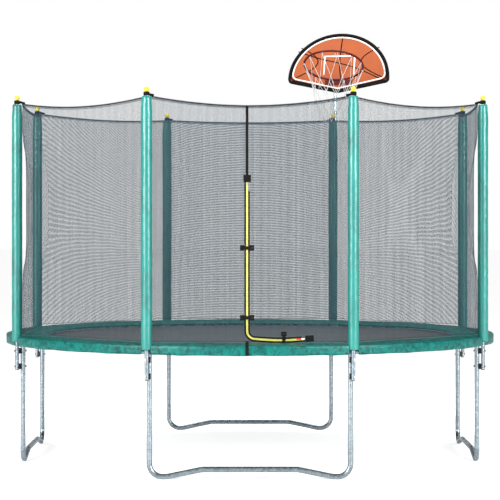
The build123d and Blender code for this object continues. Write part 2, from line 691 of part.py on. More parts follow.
def below_fold(gap):
    """All of the front panel on the door's side of the fold line, moved away from it by a gap."""
    run, drop = FOLD_END[0] - FOLD_TOP[0], FOLD_END[1] - FOLD_TOP[1]
    length = math.hypot(run, drop)
    along = (run / length, drop / length)
    towards = (along[1], -along[0])
    start = (FOLD_TOP[0] + towards[0] * gap, FOLD_TOP[1] + towards[1] * gap)
    far = 2 * NET_TOP
    corners = [
        (start[0] - along[0] * far, start[1] - along[1] * far),
        (start[0] + along[0] * far, start[1] + along[1] * far),
        (start[0] + (along[0] + towards[0]) * far, start[1] + (along[1] + towards[1]) * far),
        (start[0] + (towards[0] - along[0]) * far, start[1] + (towards[1] - along[1]) * far),
    ]
    return make_face(Polyline(*corners, close=True))


def door_panel():
    """The front panel with the door's triangle cut out of it."""
    opening = inside_zip(-ZIP_HALF_GAP) & below_fold(0)
    return net_panel(0) - on_front(opening, NET_INNER - 1, NET_OUTER + 1)


def slider_recess():
    """The corner that the flap and its tape leave free for the slider at the zip's closed end."""
    low = slider_middle() - SLIDER_LENGTH / 2 - SLIDER_FLAP_CLEARANCE
    return rectangle(low, 0, 2 * ZIP_END, ZIP_Z + SLIDER_HEIGHT / 2 + SLIDER_FLAP_CLEARANCE)


def door_flap():
    """The triangular flap that folds in about the line from the zip's top to its far end."""
    return on_front((inside_zip(ZIP_HALF_GAP) & below_fold(FOLD_GAP)) - slider_recess(), NET_INNER, NET_OUTER)


def zip_tape_fixed():
    """The zip's half on the panel, outside the L line."""
    window = rectangle(ZIP_X - TAPE_HALF_WIDTH, ZIP_Z - TAPE_HALF_WIDTH, ZIP_END + FIXED_TAPE_OVERRUN,
                       ZIP_TOP + FIXED_TAPE_OVERRUN)
    band = (inside_zip(-TAPE_HALF_WIDTH) - inside_zip(-ZIP_HALF_GAP)) & window
    return on_front(band, NET_OUTER, TAPE_FACE)


def zip_tape_flap():
    """The zip's half on the flap, inside the L line."""
    band = (inside_zip(ZIP_HALF_GAP) - inside_zip(TAPE_HALF_WIDTH)) & below_fold(FOLD_GAP)
    return on_front(band - slider_recess(), NET_OUTER, TAPE_FACE)


def slider_middle():
    """The slider's X at rest, at the closed end of the zip."""
    return ZIP_END - SLIDER_LENGTH / 2 - SLIDER_END_CLEARANCE


def zip_slider():
    """Two plates either side of the tapes, joined by a post that runs in the zip's gap."""
    middle = slider_middle()
    low, high = middle - SLIDER_LENGTH / 2, middle + SLIDER_LENGTH / 2
    plate = rectangle(low, ZIP_Z - SLIDER_HEIGHT / 2, high, ZIP_Z + SLIDER_HEIGHT / 2)
    front = TAPE_FACE + SURFACE_GAP
    back = NET_INNER - SURFACE_GAP
    reach = SLIDER_POST_LENGTH / 2
    post = on_front(rectangle(middle - reach, ZIP_Z - SLIDER_POST / 2, middle + reach, ZIP_Z + SLIDER_POST / 2), back, front)
    plates = on_front(plate, front, front + SLIDER_PLATE) + on_front(plate, back - SLIDER_PLATE, back)
    return plates + post


def zip_pull():
    """The ribbon pull, hinged at the slider's closed end."""
    root = slider_middle() + SLIDER_LENGTH / 2 - PULL_EYE_INSET
    face = TAPE_FACE + 2 * SURFACE_GAP + SLIDER_PLATE
    ribbon = rectangle(root - PULL_LENGTH, ZIP_Z - PULL_HEIGHT / 2, root, ZIP_Z + PULL_HEIGHT / 2)
    ribbon = fillet(ribbon.vertices(), PULL_HEIGHT / 4)
    return on_front(ribbon, face, face + PULL_THICKNESS)


def net_seam():
    """The bound seam from the zip's top to the hem."""
    high = HEM_MIDDLE - SEAM_HEM_DISTANCE
    strip = rectangle(ZIP_X - SEAM_WIDTH / 2, ZIP_TOP + SEAM_ZIP_GAP, ZIP_X + SEAM_WIDTH / 2, high)
    return on_front(strip, NET_OUTER, NET_OUTER + SEAM_THICKNESS)


def tail_strap():
    """The strap from the zip's corner over the pad and down its skirt."""
    profile = pad_profile()
    band = offset(profile, STRAP_GAP + STRAP_THICKNESS) - offset(profile, STRAP_GAP)
    inner = TAPE_FACE + SURFACE_GAP
    band &= rectangle(inner, PAD_BOTTOM - SKIRT_DROP + STRAP_END_GAP, 2 * FRAME_RADIUS, 2 * PAD_CROWN)
    band -= rectangle(0, 0, PAD_OUTER - SKIRT_THICKNESS / 2, PAD_BOTTOM + PAD_EDGE_THICKNESS)
    band += rectangle(inner, NET_BOTTOM, inner + STRAP_THICKNESS, ZIP_Z - STRAP_END_GAP)
    band = extrude(Plane.YZ * band, amount=STRAP_WIDTH / 2, both=True)
    return Pos(ZIP_X, 0, 0) * Rot(0, 0, 180) * band


def latch_frame(place):
    """The place of a latch: its Y axis crosses the zip from the base to the stud, and its Z axis points out."""
    if place in LATCHES_ON_UPRIGHT:
        return Plane(origin=(ZIP_X, -TAPE_FACE, place), x_dir=(0, 0, -1), z_dir=(0, -1, 0))
    return Plane(origin=(place, -TAPE_FACE, ZIP_Z), x_dir=(1, 0, 0), z_dir=(0, -1, 0))


def latch_base(place):
    """The sewn base: a block on the fixed side that holds the tongue's root."""
    upright = place in LATCHES_ON_UPRIGHT
    near = latch_hinge(place)
    length = LATCH_PATCH_LENGTH if upright else LATCH_SILL_BASE
    depth = TAPE_THICKNESS + SURFACE_GAP if upright else 0.0
    patch = rectangle(-LATCH_PATCH_WIDTH / 2, -near - length, LATCH_PATCH_WIDTH / 2, -near)
    root_end = -near - LATCH_HINGE_GAP
    root = rectangle(-LATCH_STRAP_WIDTH / 2, root_end - LATCH_ROOT_LENGTH, LATCH_STRAP_WIDTH / 2, root_end)
    block = extrude(Pos(0, 0, -depth) * patch, amount=depth + LATCH_PATCH_RISE)
    block += extrude(root, amount=LATCH_ROOT_HEIGHT)
    return latch_frame(place) * block


def latch_hinge(place):
    """The distance from the zip line to the tongue's fold."""
    return TAPE_HALF_WIDTH + LATCH_EDGE_GAP if place in LATCHES_ON_UPRIGHT else LATCH_SILL_GAP


def latch_stud(place):
    """The stud patch on the flap: a sewn patch and the press stud's post."""
    near = TAPE_HALF_WIDTH + LATCH_EDGE_GAP
    patch = rectangle(-LATCH_PATCH_WIDTH / 2, near, LATCH_PATCH_WIDTH / 2, near + LATCH_PATCH_LENGTH)
    stud = Pos(0, near + LATCH_PATCH_LENGTH / 2) * Circle(STUD_RADIUS)
    block = extrude(Pos(0, 0, -TAPE_THICKNESS - SURFACE_GAP) * patch, amount=TAPE_THICKNESS + SURFACE_GAP + LATCH_PATCH_RISE)
    return latch_frame(place) * (block + extrude(stud, amount=LATCH_HEIGHT - SURFACE_GAP))


def latch_tongue(place):
    """The strap that folds over the zip, with the press stud's cap at its end."""
    near = TAPE_HALF_WIDTH + LATCH_EDGE_GAP
    stud = near + LATCH_PATCH_LENGTH / 2
    strap = rectangle(-LATCH_STRAP_WIDTH / 2, -latch_hinge(place), LATCH_STRAP_WIDTH / 2, near + LATCH_END_LAP)
    end = rectangle(-LATCH_PATCH_WIDTH / 2, near, LATCH_PATCH_WIDTH / 2, near + LATCH_PATCH_LENGTH)
    body = extrude(Pos(0, 0, LATCH_HEIGHT) * (strap + end), amount=LATCH_STRAP_THICKNESS)
    cap = Pos(0, stud, LATCH_HEIGHT + LATCH_STRAP_THICKNESS) * Circle(STUD_CAP_RADIUS)
    return latch_frame(place) * (body + extrude(cap, amount=STUD_CAP_HEIGHT))


# Basketball hoop

def hoop_direction():
    """The unit vector in plan from the trampoline's axis to the pole that carries the hoop."""
    angle = math.radians(CORNER_ANGLES[HOOP_POLE])
    return math.cos(angle), math.sin(angle)


def mast_place():
    """The mast's X and Y, outside the pole on the same radius."""
    along = hoop_direction()
    reach = POLE_CIRCLE + MAST_OFFSET
    return along[0] * reach, along[1] * reach


def board_plane():
    """The backboard's own plane: X to its right, Y up the board and Z towards the player."""
    yaw, tilt = math.radians(BOARD_YAW), math.radians(BOARD_TILT)
    normal = (-math.sin(yaw) * math.cos(tilt), -math.cos(yaw) * math.cos(tilt), math.sin(tilt))
    mast = mast_place()
    origin = (mast[0] + BOARD_FROM_MAST[0], mast[1] + BOARD_FROM_MAST[1], BOARD_BOTTOM)
    return Plane(origin=origin, x_dir=(math.cos(yaw), -math.sin(yaw), 0), z_dir=normal)


def board_outline(inset):
    """The board's shape: a shallow V below and one round arc above, with rounded lower corners."""
    outline = [
        Polyline((BOARD_HALF_WIDTH, BOARD_SIDE_RISE), (0, 0), (-BOARD_HALF_WIDTH, BOARD_SIDE_RISE)),
        ThreePointArc((-BOARD_HALF_WIDTH, BOARD_SIDE_RISE), (0, BOARD_HEIGHT), (BOARD_HALF_WIDTH, BOARD_SIDE_RISE)),
    ]
    shape = make_face(Curve() + outline)
    shape = fillet(shape.vertices().group_by(Axis.Y)[-1], BOARD_CORNER_RADIUS)
    return offset(shape, -inset) if inset else shape


def board_layer(sketch, low, high):
    """Extrude a sketch in the board's plane between two distances from its front face."""
    return board_plane() * extrude(Pos(0, 0, low) * sketch, amount=high - low)


def board_height_at(height):
    """How far up the board a height above the ground lies."""
    return (height - BOARD_BOTTOM) / math.cos(math.radians(BOARD_TILT))


def bolt_places():
    """The board's bolts, two at each bracket, as places in its plane."""
    return [(x, board_height_at(height)) for height in BRACKET_HEIGHTS for x in (-BOARD_BOLT_OFFSET, BOARD_BOLT_OFFSET)]


def board_bolt_holes():
    """The holes for the board's bolts, through everything they hold."""
    hole = Circle(BOARD_BOLT_RADIUS + HOLE_CLEARANCE)
    holes = Sketch() + [Pos(x, y) * hole for x, y in bolt_places()]
    return board_layer(holes, -4 * BOARD_THICKNESS, 2 * BOARD_THICKNESS)


def backboard():
    """The flat board inside its edge trim."""
    return board_layer(board_outline(TRIM_WALL + SURFACE_GAP), -BOARD_THICKNESS, 0) - board_bolt_holes()


def board_trim():
    """The channel round the board's edge."""
    face = TRIM_WALL + SURFACE_GAP
    whole = board_layer(board_outline(0), -BOARD_THICKNESS - face, face)
    groove = board_layer(board_outline(TRIM_WALL), -BOARD_THICKNESS - SURFACE_GAP, SURFACE_GAP)
    window = board_layer(board_outline(TRIM_WIDTH), -2 * BOARD_THICKNESS, BOARD_THICKNESS)
    return whole - groove - window


def hoop_rim():
    """The ring, its two arms, its plate on the board and the hooks for the net."""
    ring = Pos(0, RIM_HEIGHT, RIM_REACH) * Rot(90, 0, 0) * Torus(RIM_RADIUS, RIM_WIRE)
    plate_low = board_height_at(BRACKET_HEIGHTS[0]) - RIM_PLATE_HEIGHT / 2
    plate = rectangle(-RIM_PLATE_WIDTH / 2, plate_low, RIM_PLATE_WIDTH / 2, plate_low + RIM_PLATE_HEIGHT)
    rim = ring + extrude(Pos(0, 0, SURFACE_GAP) * plate, amount=RIM_PLATE_THICKNESS)
    touch = RIM_REACH - math.sqrt(RIM_RADIUS ** 2 - RIM_ARM_OFFSET ** 2)
    for x in (-RIM_ARM_OFFSET, RIM_ARM_OFFSET):
        arm = extrude(Circle(RIM_ARM_RADIUS), amount=touch - RIM_PLATE_THICKNESS / 2)
        rim += Pos(x, RIM_HEIGHT, RIM_PLATE_THICKNESS / 2) * arm
    hook = Pos(RIM_RADIUS, -RIM_WIRE - RIM_HOOK_RADIUS / 2, 0) * Torus(RIM_HOOK_RADIUS, RIM_HOOK_WIRE)
    for index in range(RIM_HOOKS):
        rim += Pos(0, RIM_HEIGHT, RIM_REACH) * Rot(0, (index + 0.5) * 360 / RIM_HOOKS, 0) * hook
    return board_plane() * rim - board_bolt_holes()


def hoop_net():
    """The net's envelope: a thin tapering tube from below the tilted ring to a level mouth."""
    plane = board_plane()
    drop = RIM_WIRE + 1.5 * RIM_HOOK_RADIUS + RIM_HOOK_WIRE + HOOP_NET_GAP
    top = Plane(origin=plane.from_local_coords((0, RIM_HEIGHT - drop, RIM_REACH)), z_dir=plane.y_dir)
    centre = top.origin
    rise = HOOP_NET_WAIST_RISE * (centre.Z - HOOP_NET_BOTTOM)
    waist = Plane(origin=(centre.X, centre.Y, HOOP_NET_BOTTOM + rise))
    mouth = Plane(origin=(centre.X, centre.Y, HOOP_NET_BOTTOM))
    shells = []
    for wall in (0, HOOP_NET_THICKNESS):
        rings = [place * Circle(radius - wall) for place, radius in zip((mouth, waist, top), HOOP_NET_RADII[::-1])]
        shells.append(loft(rings))
    return shells[0] - shells[1]


def hoop_mast():
    """The upright tube that carries the board."""
    mast = mast_place()
    return Pos(mast[0], mast[1], 0) * rounded_tube(MAST_RADIUS, MAST_WALL, MAST_BOTTOM, MAST_TOP)


def hoop_clamp(height):
    """A clamp with one bore round the pole's sleeve and one round the mast."""
    sleeve_bore = SLEEVE_RADIUS + SURFACE_GAP
    mast_bore = MAST_RADIUS + SLIDING_FIT
    body = Cylinder(sleeve_bore + CLAMP_BAND, CLAMP_HEIGHT)
    body += Pos(MAST_OFFSET, 0, 0) * Cylinder(mast_bore + CLAMP_BAND, CLAMP_HEIGHT)
    body += Pos(MAST_OFFSET / 2, 0, 0) * Box(MAST_OFFSET, CLAMP_WEB_WIDTH, CLAMP_HEIGHT)
    body -= Cylinder(sleeve_bore, 2 * CLAMP_HEIGHT)
    body -= Pos(MAST_OFFSET, 0, 0) * Cylinder(mast_bore, 2 * CLAMP_HEIGHT)
    return Rot(0, 0, CORNER_ANGLES[HOOP_POLE]) * Pos(POLE_CIRCLE, 0, height) * body


def board_bracket(height):
    """A band round the mast, a bar to the board and a flange on the board's back."""
    mast = mast_place()
    plane = board_plane()
    back = plane.from_local_coords((0, board_height_at(height), -BOARD_THICKNESS - TRIM_WALL))
    run, rise = back.X - mast[0], back.Y - mast[1]
    turn = math.degrees(math.atan2(rise, run))
    bore = MAST_RADIUS + SLIDING_FIT
    length = math.hypot(run, rise)
    body = Cylinder(bore + CLAMP_BAND, CLAMP_HEIGHT)
    body += Pos(length / 2 + bore / 2, 0, 0) * Box(length - bore, BRACKET_BAR[0], BRACKET_BAR[1])
    body = Pos(mast[0], mast[1], height) * Rot(0, 0, turn) * (body - Cylinder(bore, 2 * CLAMP_HEIGHT))
    flange_face = -BOARD_THICKNESS - SURFACE_GAP
    middle = board_height_at(height)
    flange = Pos(0, middle) * Rectangle(*FLANGE_SIZE)
    body += board_layer(flange, flange_face - FLANGE_THICKNESS, flange_face)
    beyond = Pos(0, middle) * Rectangle(4 * FLANGE_SIZE[0], 4 * FLANGE_SIZE[1])
    return body - board_layer(beyond, flange_face, 8 * BOARD_THICKNESS) - board_bolt_holes()


def board_bolt(place, seat):
    """A dome-head bolt through the board, its head on the given seat, and its nut behind the flange."""
    tail = -BOARD_THICKNESS - SURFACE_GAP - FLANGE_THICKNESS
    head = Pos(0, 0, seat) * extrude(Circle(BOARD_BOLT_HEAD_RADIUS), amount=BOARD_BOLT_HEAD_HEIGHT)
    head = fillet(head.edges().group_by(Axis.Z)[-1], BOARD_BOLT_HEAD_HEIGHT * BOARD_BOLT_DOME)
    shank = rod(BOARD_BOLT_RADIUS, tail - BOARD_NUT_HEIGHT - BOLT_TAIL, seat)
    nut = Pos(0, 0, tail - BOARD_NUT_HEIGHT) * hexagon(BOARD_BOLT_HEAD_RADIUS, BOARD_NUT_HEIGHT)
    nut -= rod(BOARD_BOLT_RADIUS + SLIDING_FIT, tail - 2 * BOARD_NUT_HEIGHT, tail + 1)
    return [board_plane() * Pos(*place, 0) * piece for piece in (head + shank, nut)]


def hoop_bolts():
    """The board's bolts and nuts: the lower pair also holds the rim's plate."""
    pieces = []
    for place in bolt_places():
        on_rim = place[1] < board_height_at(BRACKET_HEIGHTS[1])
        seat = RIM_PLATE_THICKNESS + SURFACE_GAP if on_rim else 0
        pieces += board_bolt(place, seat)
    return pieces


def main():
    """Build every node and write it."""
    os.makedirs("parts", exist_ok=True)
    side_angles = [SIDE_ANGLE * side for side in range(SIDES)]
    rail = rail_segment()
    for index, angle in enumerate(side_angles, 1):
        export(f"rail_segment_{index}", around(rail, [angle]))
    export("rail_tee_joints", around(rail_tee(), CORNER_ANGLES))
    export("frame_screws", [screw for place in screw_places(frame_screw()) for screw in around(place, CORNER_ANGLES)])
    base = leg_base()
    for name, angle in (("right", 0), ("rear", 90), ("left", 180), ("front", 270)):
        export(f"leg_base_{name}", around(base, [angle]))
    export("leg_extensions", around(leg_extension(), CORNER_ANGLES))

    pole = net_pole()
    for index, angle in enumerate(CORNER_ANGLES, 1):
        export(f"net_pole_{index}", [Rot(0, 0, angle) * tube for tube in pole])
    export("pole_end_plugs", around(end_plug(), CORNER_ANGLES))
    export("pole_foam_sleeves", around(foam_sleeve(), CORNER_ANGLES))
    export("pole_cap_collars", around(cap_collar(), CORNER_ANGLES))
    export("pole_cap_balls", around(cap_ball(), CORNER_ANGLES))
    for name, shape in (("pole_saddles", saddle()), ("pole_bolts", pole_bolt()), ("pole_nuts", pole_nut())):
        export(name, [copy for height in CLAMP_HEIGHTS for copy in around(Pos(0, 0, height) * shape, CORNER_ANGLES)])

    all_springs = [angle + side for side in side_angles for angle in spring_angles()]
    export("jump_mat", [jump_mat()])
    export("mat_edge_webbing", [mat_webbing()])
    export("mat_v_rings", around(v_ring(), all_springs))
    export("springs", around(spring(), all_springs))
    export("safety_pad", around(safety_pad_sector(), side_angles))
    export("pad_ties", around(pad_tie(), [side + turn for side in side_angles for turn in (-TIE_ANGLE, TIE_ANGLE)]))

    export("net_panels", [side_turn(side) * net_panel(side) for side in range(1, SIDES)])
    export("net_door_panel", [door_panel()])
    export("net_top_cord", [side_turn(side) * hem_cord(side) for side in range(SIDES)])
    export("net_corner_loops", around(corner_loop(), CORNER_ANGLES))
    export("net_seam", [net_seam()])
    export("net_tail_strap", [tail_strap()])
    export("door_flap", [door_flap()])
    export("zip_tape_fixed", [zip_tape_fixed()])
    export("zip_tape_flap", [zip_tape_flap()])
    export("zip_slider", [zip_slider()])
    export("zip_pull", [zip_pull()])
    latches = LATCHES_ON_UPRIGHT + (LATCH_ON_SILL,)
    export("latch_bases", [latch_base(place) for place in latches])
    export("latch_studs", [latch_stud(place) for place in latches])
    for index, place in enumerate(latches, 1):
        export(f"latch_tongue_{index}", [latch_tongue(place)])

    export("backboard", [backboard()])
    export("board_edge_trim", [board_trim()])
    export("hoop_rim", [hoop_rim()])
    export("hoop_net", [hoop_net()])
    export("hoop_mast", [hoop_mast()])
    export("hoop_clamps", [hoop_clamp(height) for height in POLE_CLAMP_HEIGHTS])
    export("board_brackets", [board_bracket(height) for height in BRACKET_HEIGHTS])
    export("hoop_bolts", hoop_bolts())


main()
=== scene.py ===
"""A backyard trampoline with an enclosure net, a zipped door and a basketball hoop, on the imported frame."""

import logging
import math
from collections.abc import Callable, Iterable, Sequence
from dataclasses import dataclass, field
from enum import Enum

import bmesh
import bpy
import numpy as np
from mathutils import Matrix, Vector

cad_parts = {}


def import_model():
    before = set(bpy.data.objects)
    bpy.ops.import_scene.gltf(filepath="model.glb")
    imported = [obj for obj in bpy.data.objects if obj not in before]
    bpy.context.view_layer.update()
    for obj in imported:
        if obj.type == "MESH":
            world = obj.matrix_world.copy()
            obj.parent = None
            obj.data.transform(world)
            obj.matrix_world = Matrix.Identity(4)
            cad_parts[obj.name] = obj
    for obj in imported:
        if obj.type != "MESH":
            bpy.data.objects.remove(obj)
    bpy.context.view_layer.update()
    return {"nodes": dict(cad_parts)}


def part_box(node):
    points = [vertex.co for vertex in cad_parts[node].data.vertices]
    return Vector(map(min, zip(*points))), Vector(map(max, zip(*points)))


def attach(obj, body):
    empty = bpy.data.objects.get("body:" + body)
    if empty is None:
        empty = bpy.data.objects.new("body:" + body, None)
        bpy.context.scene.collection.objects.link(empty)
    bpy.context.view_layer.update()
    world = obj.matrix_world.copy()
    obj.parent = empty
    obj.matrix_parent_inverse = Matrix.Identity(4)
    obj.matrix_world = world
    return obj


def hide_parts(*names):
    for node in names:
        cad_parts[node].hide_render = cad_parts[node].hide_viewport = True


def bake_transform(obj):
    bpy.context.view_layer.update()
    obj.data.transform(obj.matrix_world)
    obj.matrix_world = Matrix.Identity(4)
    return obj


LOG = logging.getLogger("trampoline")
MM = 0.001
PAD_INNER = 1545 * MM
WEBBING_THICKNESS = 2.2 * MM

Point = tuple[float, float, float]
Flat = tuple[float, float]


# Small tools ---------------------------------------------------------------------------------------------


def linear(hex_colour: str) -> tuple[float, float, float, float]:
    """Turn an sRGB hex colour into Blender's linear values.

    Args:
        hex_colour: six hex digits, such as "2ca99e".

    Returns:
        Red, green, blue and an alpha of 1.
    """
    parts = [int(hex_colour[i:i + 2], 16) / 255 for i in (0, 2, 4)]
    red, green, blue = [c / 12.92 if c <= 0.04045 else ((c + 0.055) / 1.055) ** 2.4 for c in parts]
    return red, green, blue, 1.0


def add_node(tree: bpy.types.NodeTree, kind: str, inputs: dict | None = None, **settings) -> bpy.types.Node:
    """Add one shader node.

    Args:
        tree: the material's node tree.
        kind: the node's type name, without "ShaderNode".
        inputs: socket name or index to a value or to another node's output.
        **settings: the node's own properties.

    Returns:
        The new node.
    """
    node = tree.nodes.new("ShaderNode" + kind)
    for name, value in settings.items():
        setattr(node, name, value)
    for name, value in (inputs or {}).items():
        socket = node.inputs[name]
        if isinstance(value, bpy.types.NodeSocket):
            tree.links.new(value, socket)
        else:
            socket.default_value = value
    return node


def ramp(tree: bpy.types.NodeTree, factor: bpy.types.NodeSocket,
         stops: Sequence[tuple[float, str]]) -> bpy.types.NodeSocket:
    """Colour a factor by stops of (place, hex colour).

    Returns:
        The colour output.
    """
    node = add_node(tree, "ValToRGB", {"Fac": factor})
    elements = node.color_ramp.elements
    while len(elements) < len(stops):
        elements.new(0.5)
    for element, (place, colour) in zip(elements, stops):
        element.position = place
        element.color = linear(colour)
    return node.outputs["Color"]


def deselect() -> None:
    """Clear the selection, so that an operator acts on the new piece alone."""
    if bpy.context.object and bpy.context.object.mode != "OBJECT":
        bpy.ops.object.mode_set(mode="OBJECT")
    bpy.ops.object.select_all(action="DESELECT")


def named(name: str) -> bpy.types.Object:
    """Name the primitive that was just added, and return it."""
    piece = bpy.context.object
    piece.name = piece.data.name = name
    return piece


def settle(piece: bpy.types.Object) -> bpy.types.Object:
    """Apply a piece's modifiers and its place, so that it sits at the origin with its place in its mesh."""
    deselect()
    bpy.context.view_layer.objects.active = piece
    piece.select_set(True)
    for modifier in list(piece.modifiers):
        bpy.ops.object.modifier_apply(modifier=modifier.name)
    bpy.ops.object.transform_apply(location=True, rotation=True, scale=True)
    return piece


def smooth(piece: bpy.types.Object, degrees: float = 40.0) -> bpy.types.Object:
    """Shade a piece smooth, keeping edges sharper than an angle."""
    deselect()
    bpy.context.view_layer.objects.active = piece
    piece.select_set(True)
    bpy.ops.object.shade_smooth_by_angle(angle=math.radians(degrees))
    return piece


def modifier(piece: bpy.types.Object, kind: str, **settings) -> None:
    """Add a modifier and apply it at once."""
    deselect()
    bpy.context.view_layer.objects.active = piece
    piece.select_set(True)
    new = piece.modifiers.new(kind.title(), kind)
    for name, value in settings.items():
        setattr(new, name, value)
    bpy.ops.object.modifier_apply(modifier=new.name)


def mesh_piece(name: str, points: np.ndarray | Sequence, faces: Sequence,
               uvs: np.ndarray | None = None) -> bpy.types.Object:
    """Make a piece from points and faces.

    Args:
        name: the piece's name.
        points: the corners, in metres.
        faces: corner indices, face by face.
        uvs: a UV point for each corner of the mesh, in metres along and across the cloth.

    Returns:
        The new object, shaded smooth.
    """
    mesh = bpy.data.meshes.new(name)
    mesh.from_pydata(np.asarray(points, float).tolist(), [], [list(map(int, face)) for face in faces])
    if uvs is not None:
        layer = mesh.uv_layers.new(name="cloth")
        corners = np.zeros(len(mesh.loops), np.int32)
        mesh.loops.foreach_get("vertex_index", corners)
        layer.data.foreach_set("uv", np.asarray(uvs, np.float32)[corners].ravel())
    mesh.polygons.foreach_set("use_smooth", [True] * len(mesh.polygons))
    mesh.update()
    piece = bpy.data.objects.new(name, mesh)
    bpy.context.collection.objects.link(piece)
    return piece


def join(name: str, parts: Sequence[bpy.types.Object]) -> bpy.types.Object:
    """Join parts into one piece."""
    deselect()
    for part in parts:
        part.select_set(True)
    bpy.context.view_layer.objects.active = parts[0]
    if len(parts) > 1:
        bpy.ops.object.join()
    return named(name)


def copy_of(piece: bpy.types.Object, name: str, move: Matrix) -> bpy.types.Object:
    """Copy a finished piece, with its own mesh, moved by a matrix."""
    mesh = piece.data.copy()
    mesh.transform(move)
    twin = bpy.data.objects.new(name, mesh)
    mesh.name = name
    bpy.context.collection.objects.link(twin)
    return twin


def turned(angle: float) -> Matrix:
    """The turn about the trampoline's axis by an angle in degrees."""
    return Matrix.Rotation(math.radians(angle), 4, "Z")


def turn_points(points: np.ndarray, angle: float) -> np.ndarray:
    """Points turned about the trampoline's axis by an angle in degrees."""
    c, s = math.cos(math.radians(angle)), math.sin(math.radians(angle))
    return points @ np.array([[c, s, 0], [-s, c, 0], [0, 0, 1]])


def wave(*parts: np.ndarray) -> np.ndarray:
    """A smooth uneven wave from about -1 to 1, the same on every run, of one or more inputs in radians."""
    total = 0.0
    for index, part in enumerate(parts):
        total = total + np.sin(part + 1.3 * index) + 0.6 * np.sin(1.73 * part + 2.1 * index + 0.7) \
            + 0.35 * np.sin(3.11 * part - 0.4 * index)
    return total / (1.95 * len(parts))


def lengths(path: np.ndarray) -> np.ndarray:
    """The distance along a path at each of its points."""
    return np.concatenate([[0.0], np.cumsum(np.linalg.norm(np.diff(path, axis=0), axis=1))])


def tangents(path: np.ndarray) -> np.ndarray:
    """The unit direction of a path at each of its points."""
    along = np.gradient(path, axis=0)
    return along / np.linalg.norm(along, axis=1, keepdims=True)


def swept(path: np.ndarray, up: np.ndarray, outline: np.ndarray,
          capped: bool) -> tuple[np.ndarray, list, np.ndarray]:
    """Sweep a closed outline along a path.

    Args:
        path: the points followed, in metres.
        up: the outward direction, one for all points or one each.
        outline: the section's corners as (across, up), turning anticlockwise.
        capped: whether both ends are closed.

    Returns:
        Points, faces and UV points.
    """
    along = tangents(path)
    up = np.broadcast_to(np.asarray(up, float), path.shape)
    across = np.cross(along, up)
    across /= np.linalg.norm(across, axis=1, keepdims=True)
    up = np.cross(across, along)
    count = len(outline)
    points = path[:, None] + across[:, None] * outline[None, :, :1] + up[:, None] * outline[None, :, 1:]
    points = points.reshape(-1, 3)
    faces = []
    for ring in range(len(path) - 1):
        for corner in range(count):
            a, b = ring * count + corner, ring * count + (corner + 1) % count
            faces.append((a, b, b + count, a + count))
    if capped:
        faces.append(tuple(range(count - 1, -1, -1)))
        faces.append(tuple((len(path) - 1) * count + corner for corner in range(count)))
    distance = np.repeat(lengths(path), count)
    uvs = np.stack([distance, np.tile(outline[:, 0], len(path))], axis=1)
    return points, faces, uvs


def strap(name: str, path: Sequence, up: Sequence, width: float, thickness: float) -> bpy.types.Object:
    """A flat woven strap along a path, with soft rounded edges.

    Args:
        name: the piece's name.
        path: points down its middle, in metres.
        up: the way its face looks, one for all points or one each.
        width: its width in metres.
        thickness: its thickness in metres.

    Returns:
        The strap, closed at both ends.
    """
    half, edge, rise = width / 2, thickness / 2, thickness / 2
    outline = np.array([(-half, 0), (-half + edge, -rise), (0, -rise), (half - edge, -rise), (half, 0),
                        (half - edge, rise), (0, rise), (-half + edge, rise)])
    points, faces, uvs = swept(np.asarray(path, float), up, outline, True)
    return facing_out(mesh_piece(name, points, faces, uvs))


def facing_out(piece: bpy.types.Object) -> bpy.types.Object:
    """Turn every face of a closed piece outwards."""
    shape = bmesh.new()
    shape.from_mesh(piece.data)
    bmesh.ops.recalc_face_normals(shape, faces=shape.faces)
    shape.to_mesh(piece.data)
    shape.free()
    return piece


def tube(name: str, path: Sequence, radius: float, sides: int = 8, capped: bool = True) -> bpy.types.Object:
    """A round cord or wire along a path, with an outward direction that never lies along it."""
    path = np.asarray(path, float)
    run = path[-1] - path[0]
    up = np.eye(3)[int(np.argmin(np.abs(run)))] if np.linalg.norm(run) > 1e-6 else np.array([0, 0, 1.0])
    turn = np.linspace(0, 2 * math.pi, sides, endpoint=False)
    outline = radius * np.stack([np.cos(turn), np.sin(turn)], axis=1)
    points, faces, uvs = swept(path, up, outline, capped)
    return facing_out(mesh_piece(name, points, faces, uvs))


def soft_path(corners: Sequence, steps: int = 8) -> np.ndarray:
    """A smooth path through control points, read from a NURBS spline.

    Args:
        corners: the control points.
        steps: points for each run.

    Returns:
        The points along the spline.
    """
    curve = bpy.data.curves.new("path", "CURVE")
    curve.dimensions = "3D"
    spline = curve.splines.new("NURBS")
    spline.points.add(len(corners) - 1)
    for point, corner in zip(spline.points, corners):
        point.co = (*corner, 1.0)
    spline.order_u = 3
    spline.use_endpoint_u = True
    spline.resolution_u = steps
    carrier = bpy.data.objects.new("path", curve)
    mesh = bpy.data.meshes.new_from_object(carrier)
    path = np.array([vertex.co for vertex in mesh.vertices], float)
    bpy.data.objects.remove(carrier)
    bpy.data.meshes.remove(mesh)
    bpy.data.curves.remove(curve)
    return path


# Finishes ------------------------------------------------------------------------------------------------


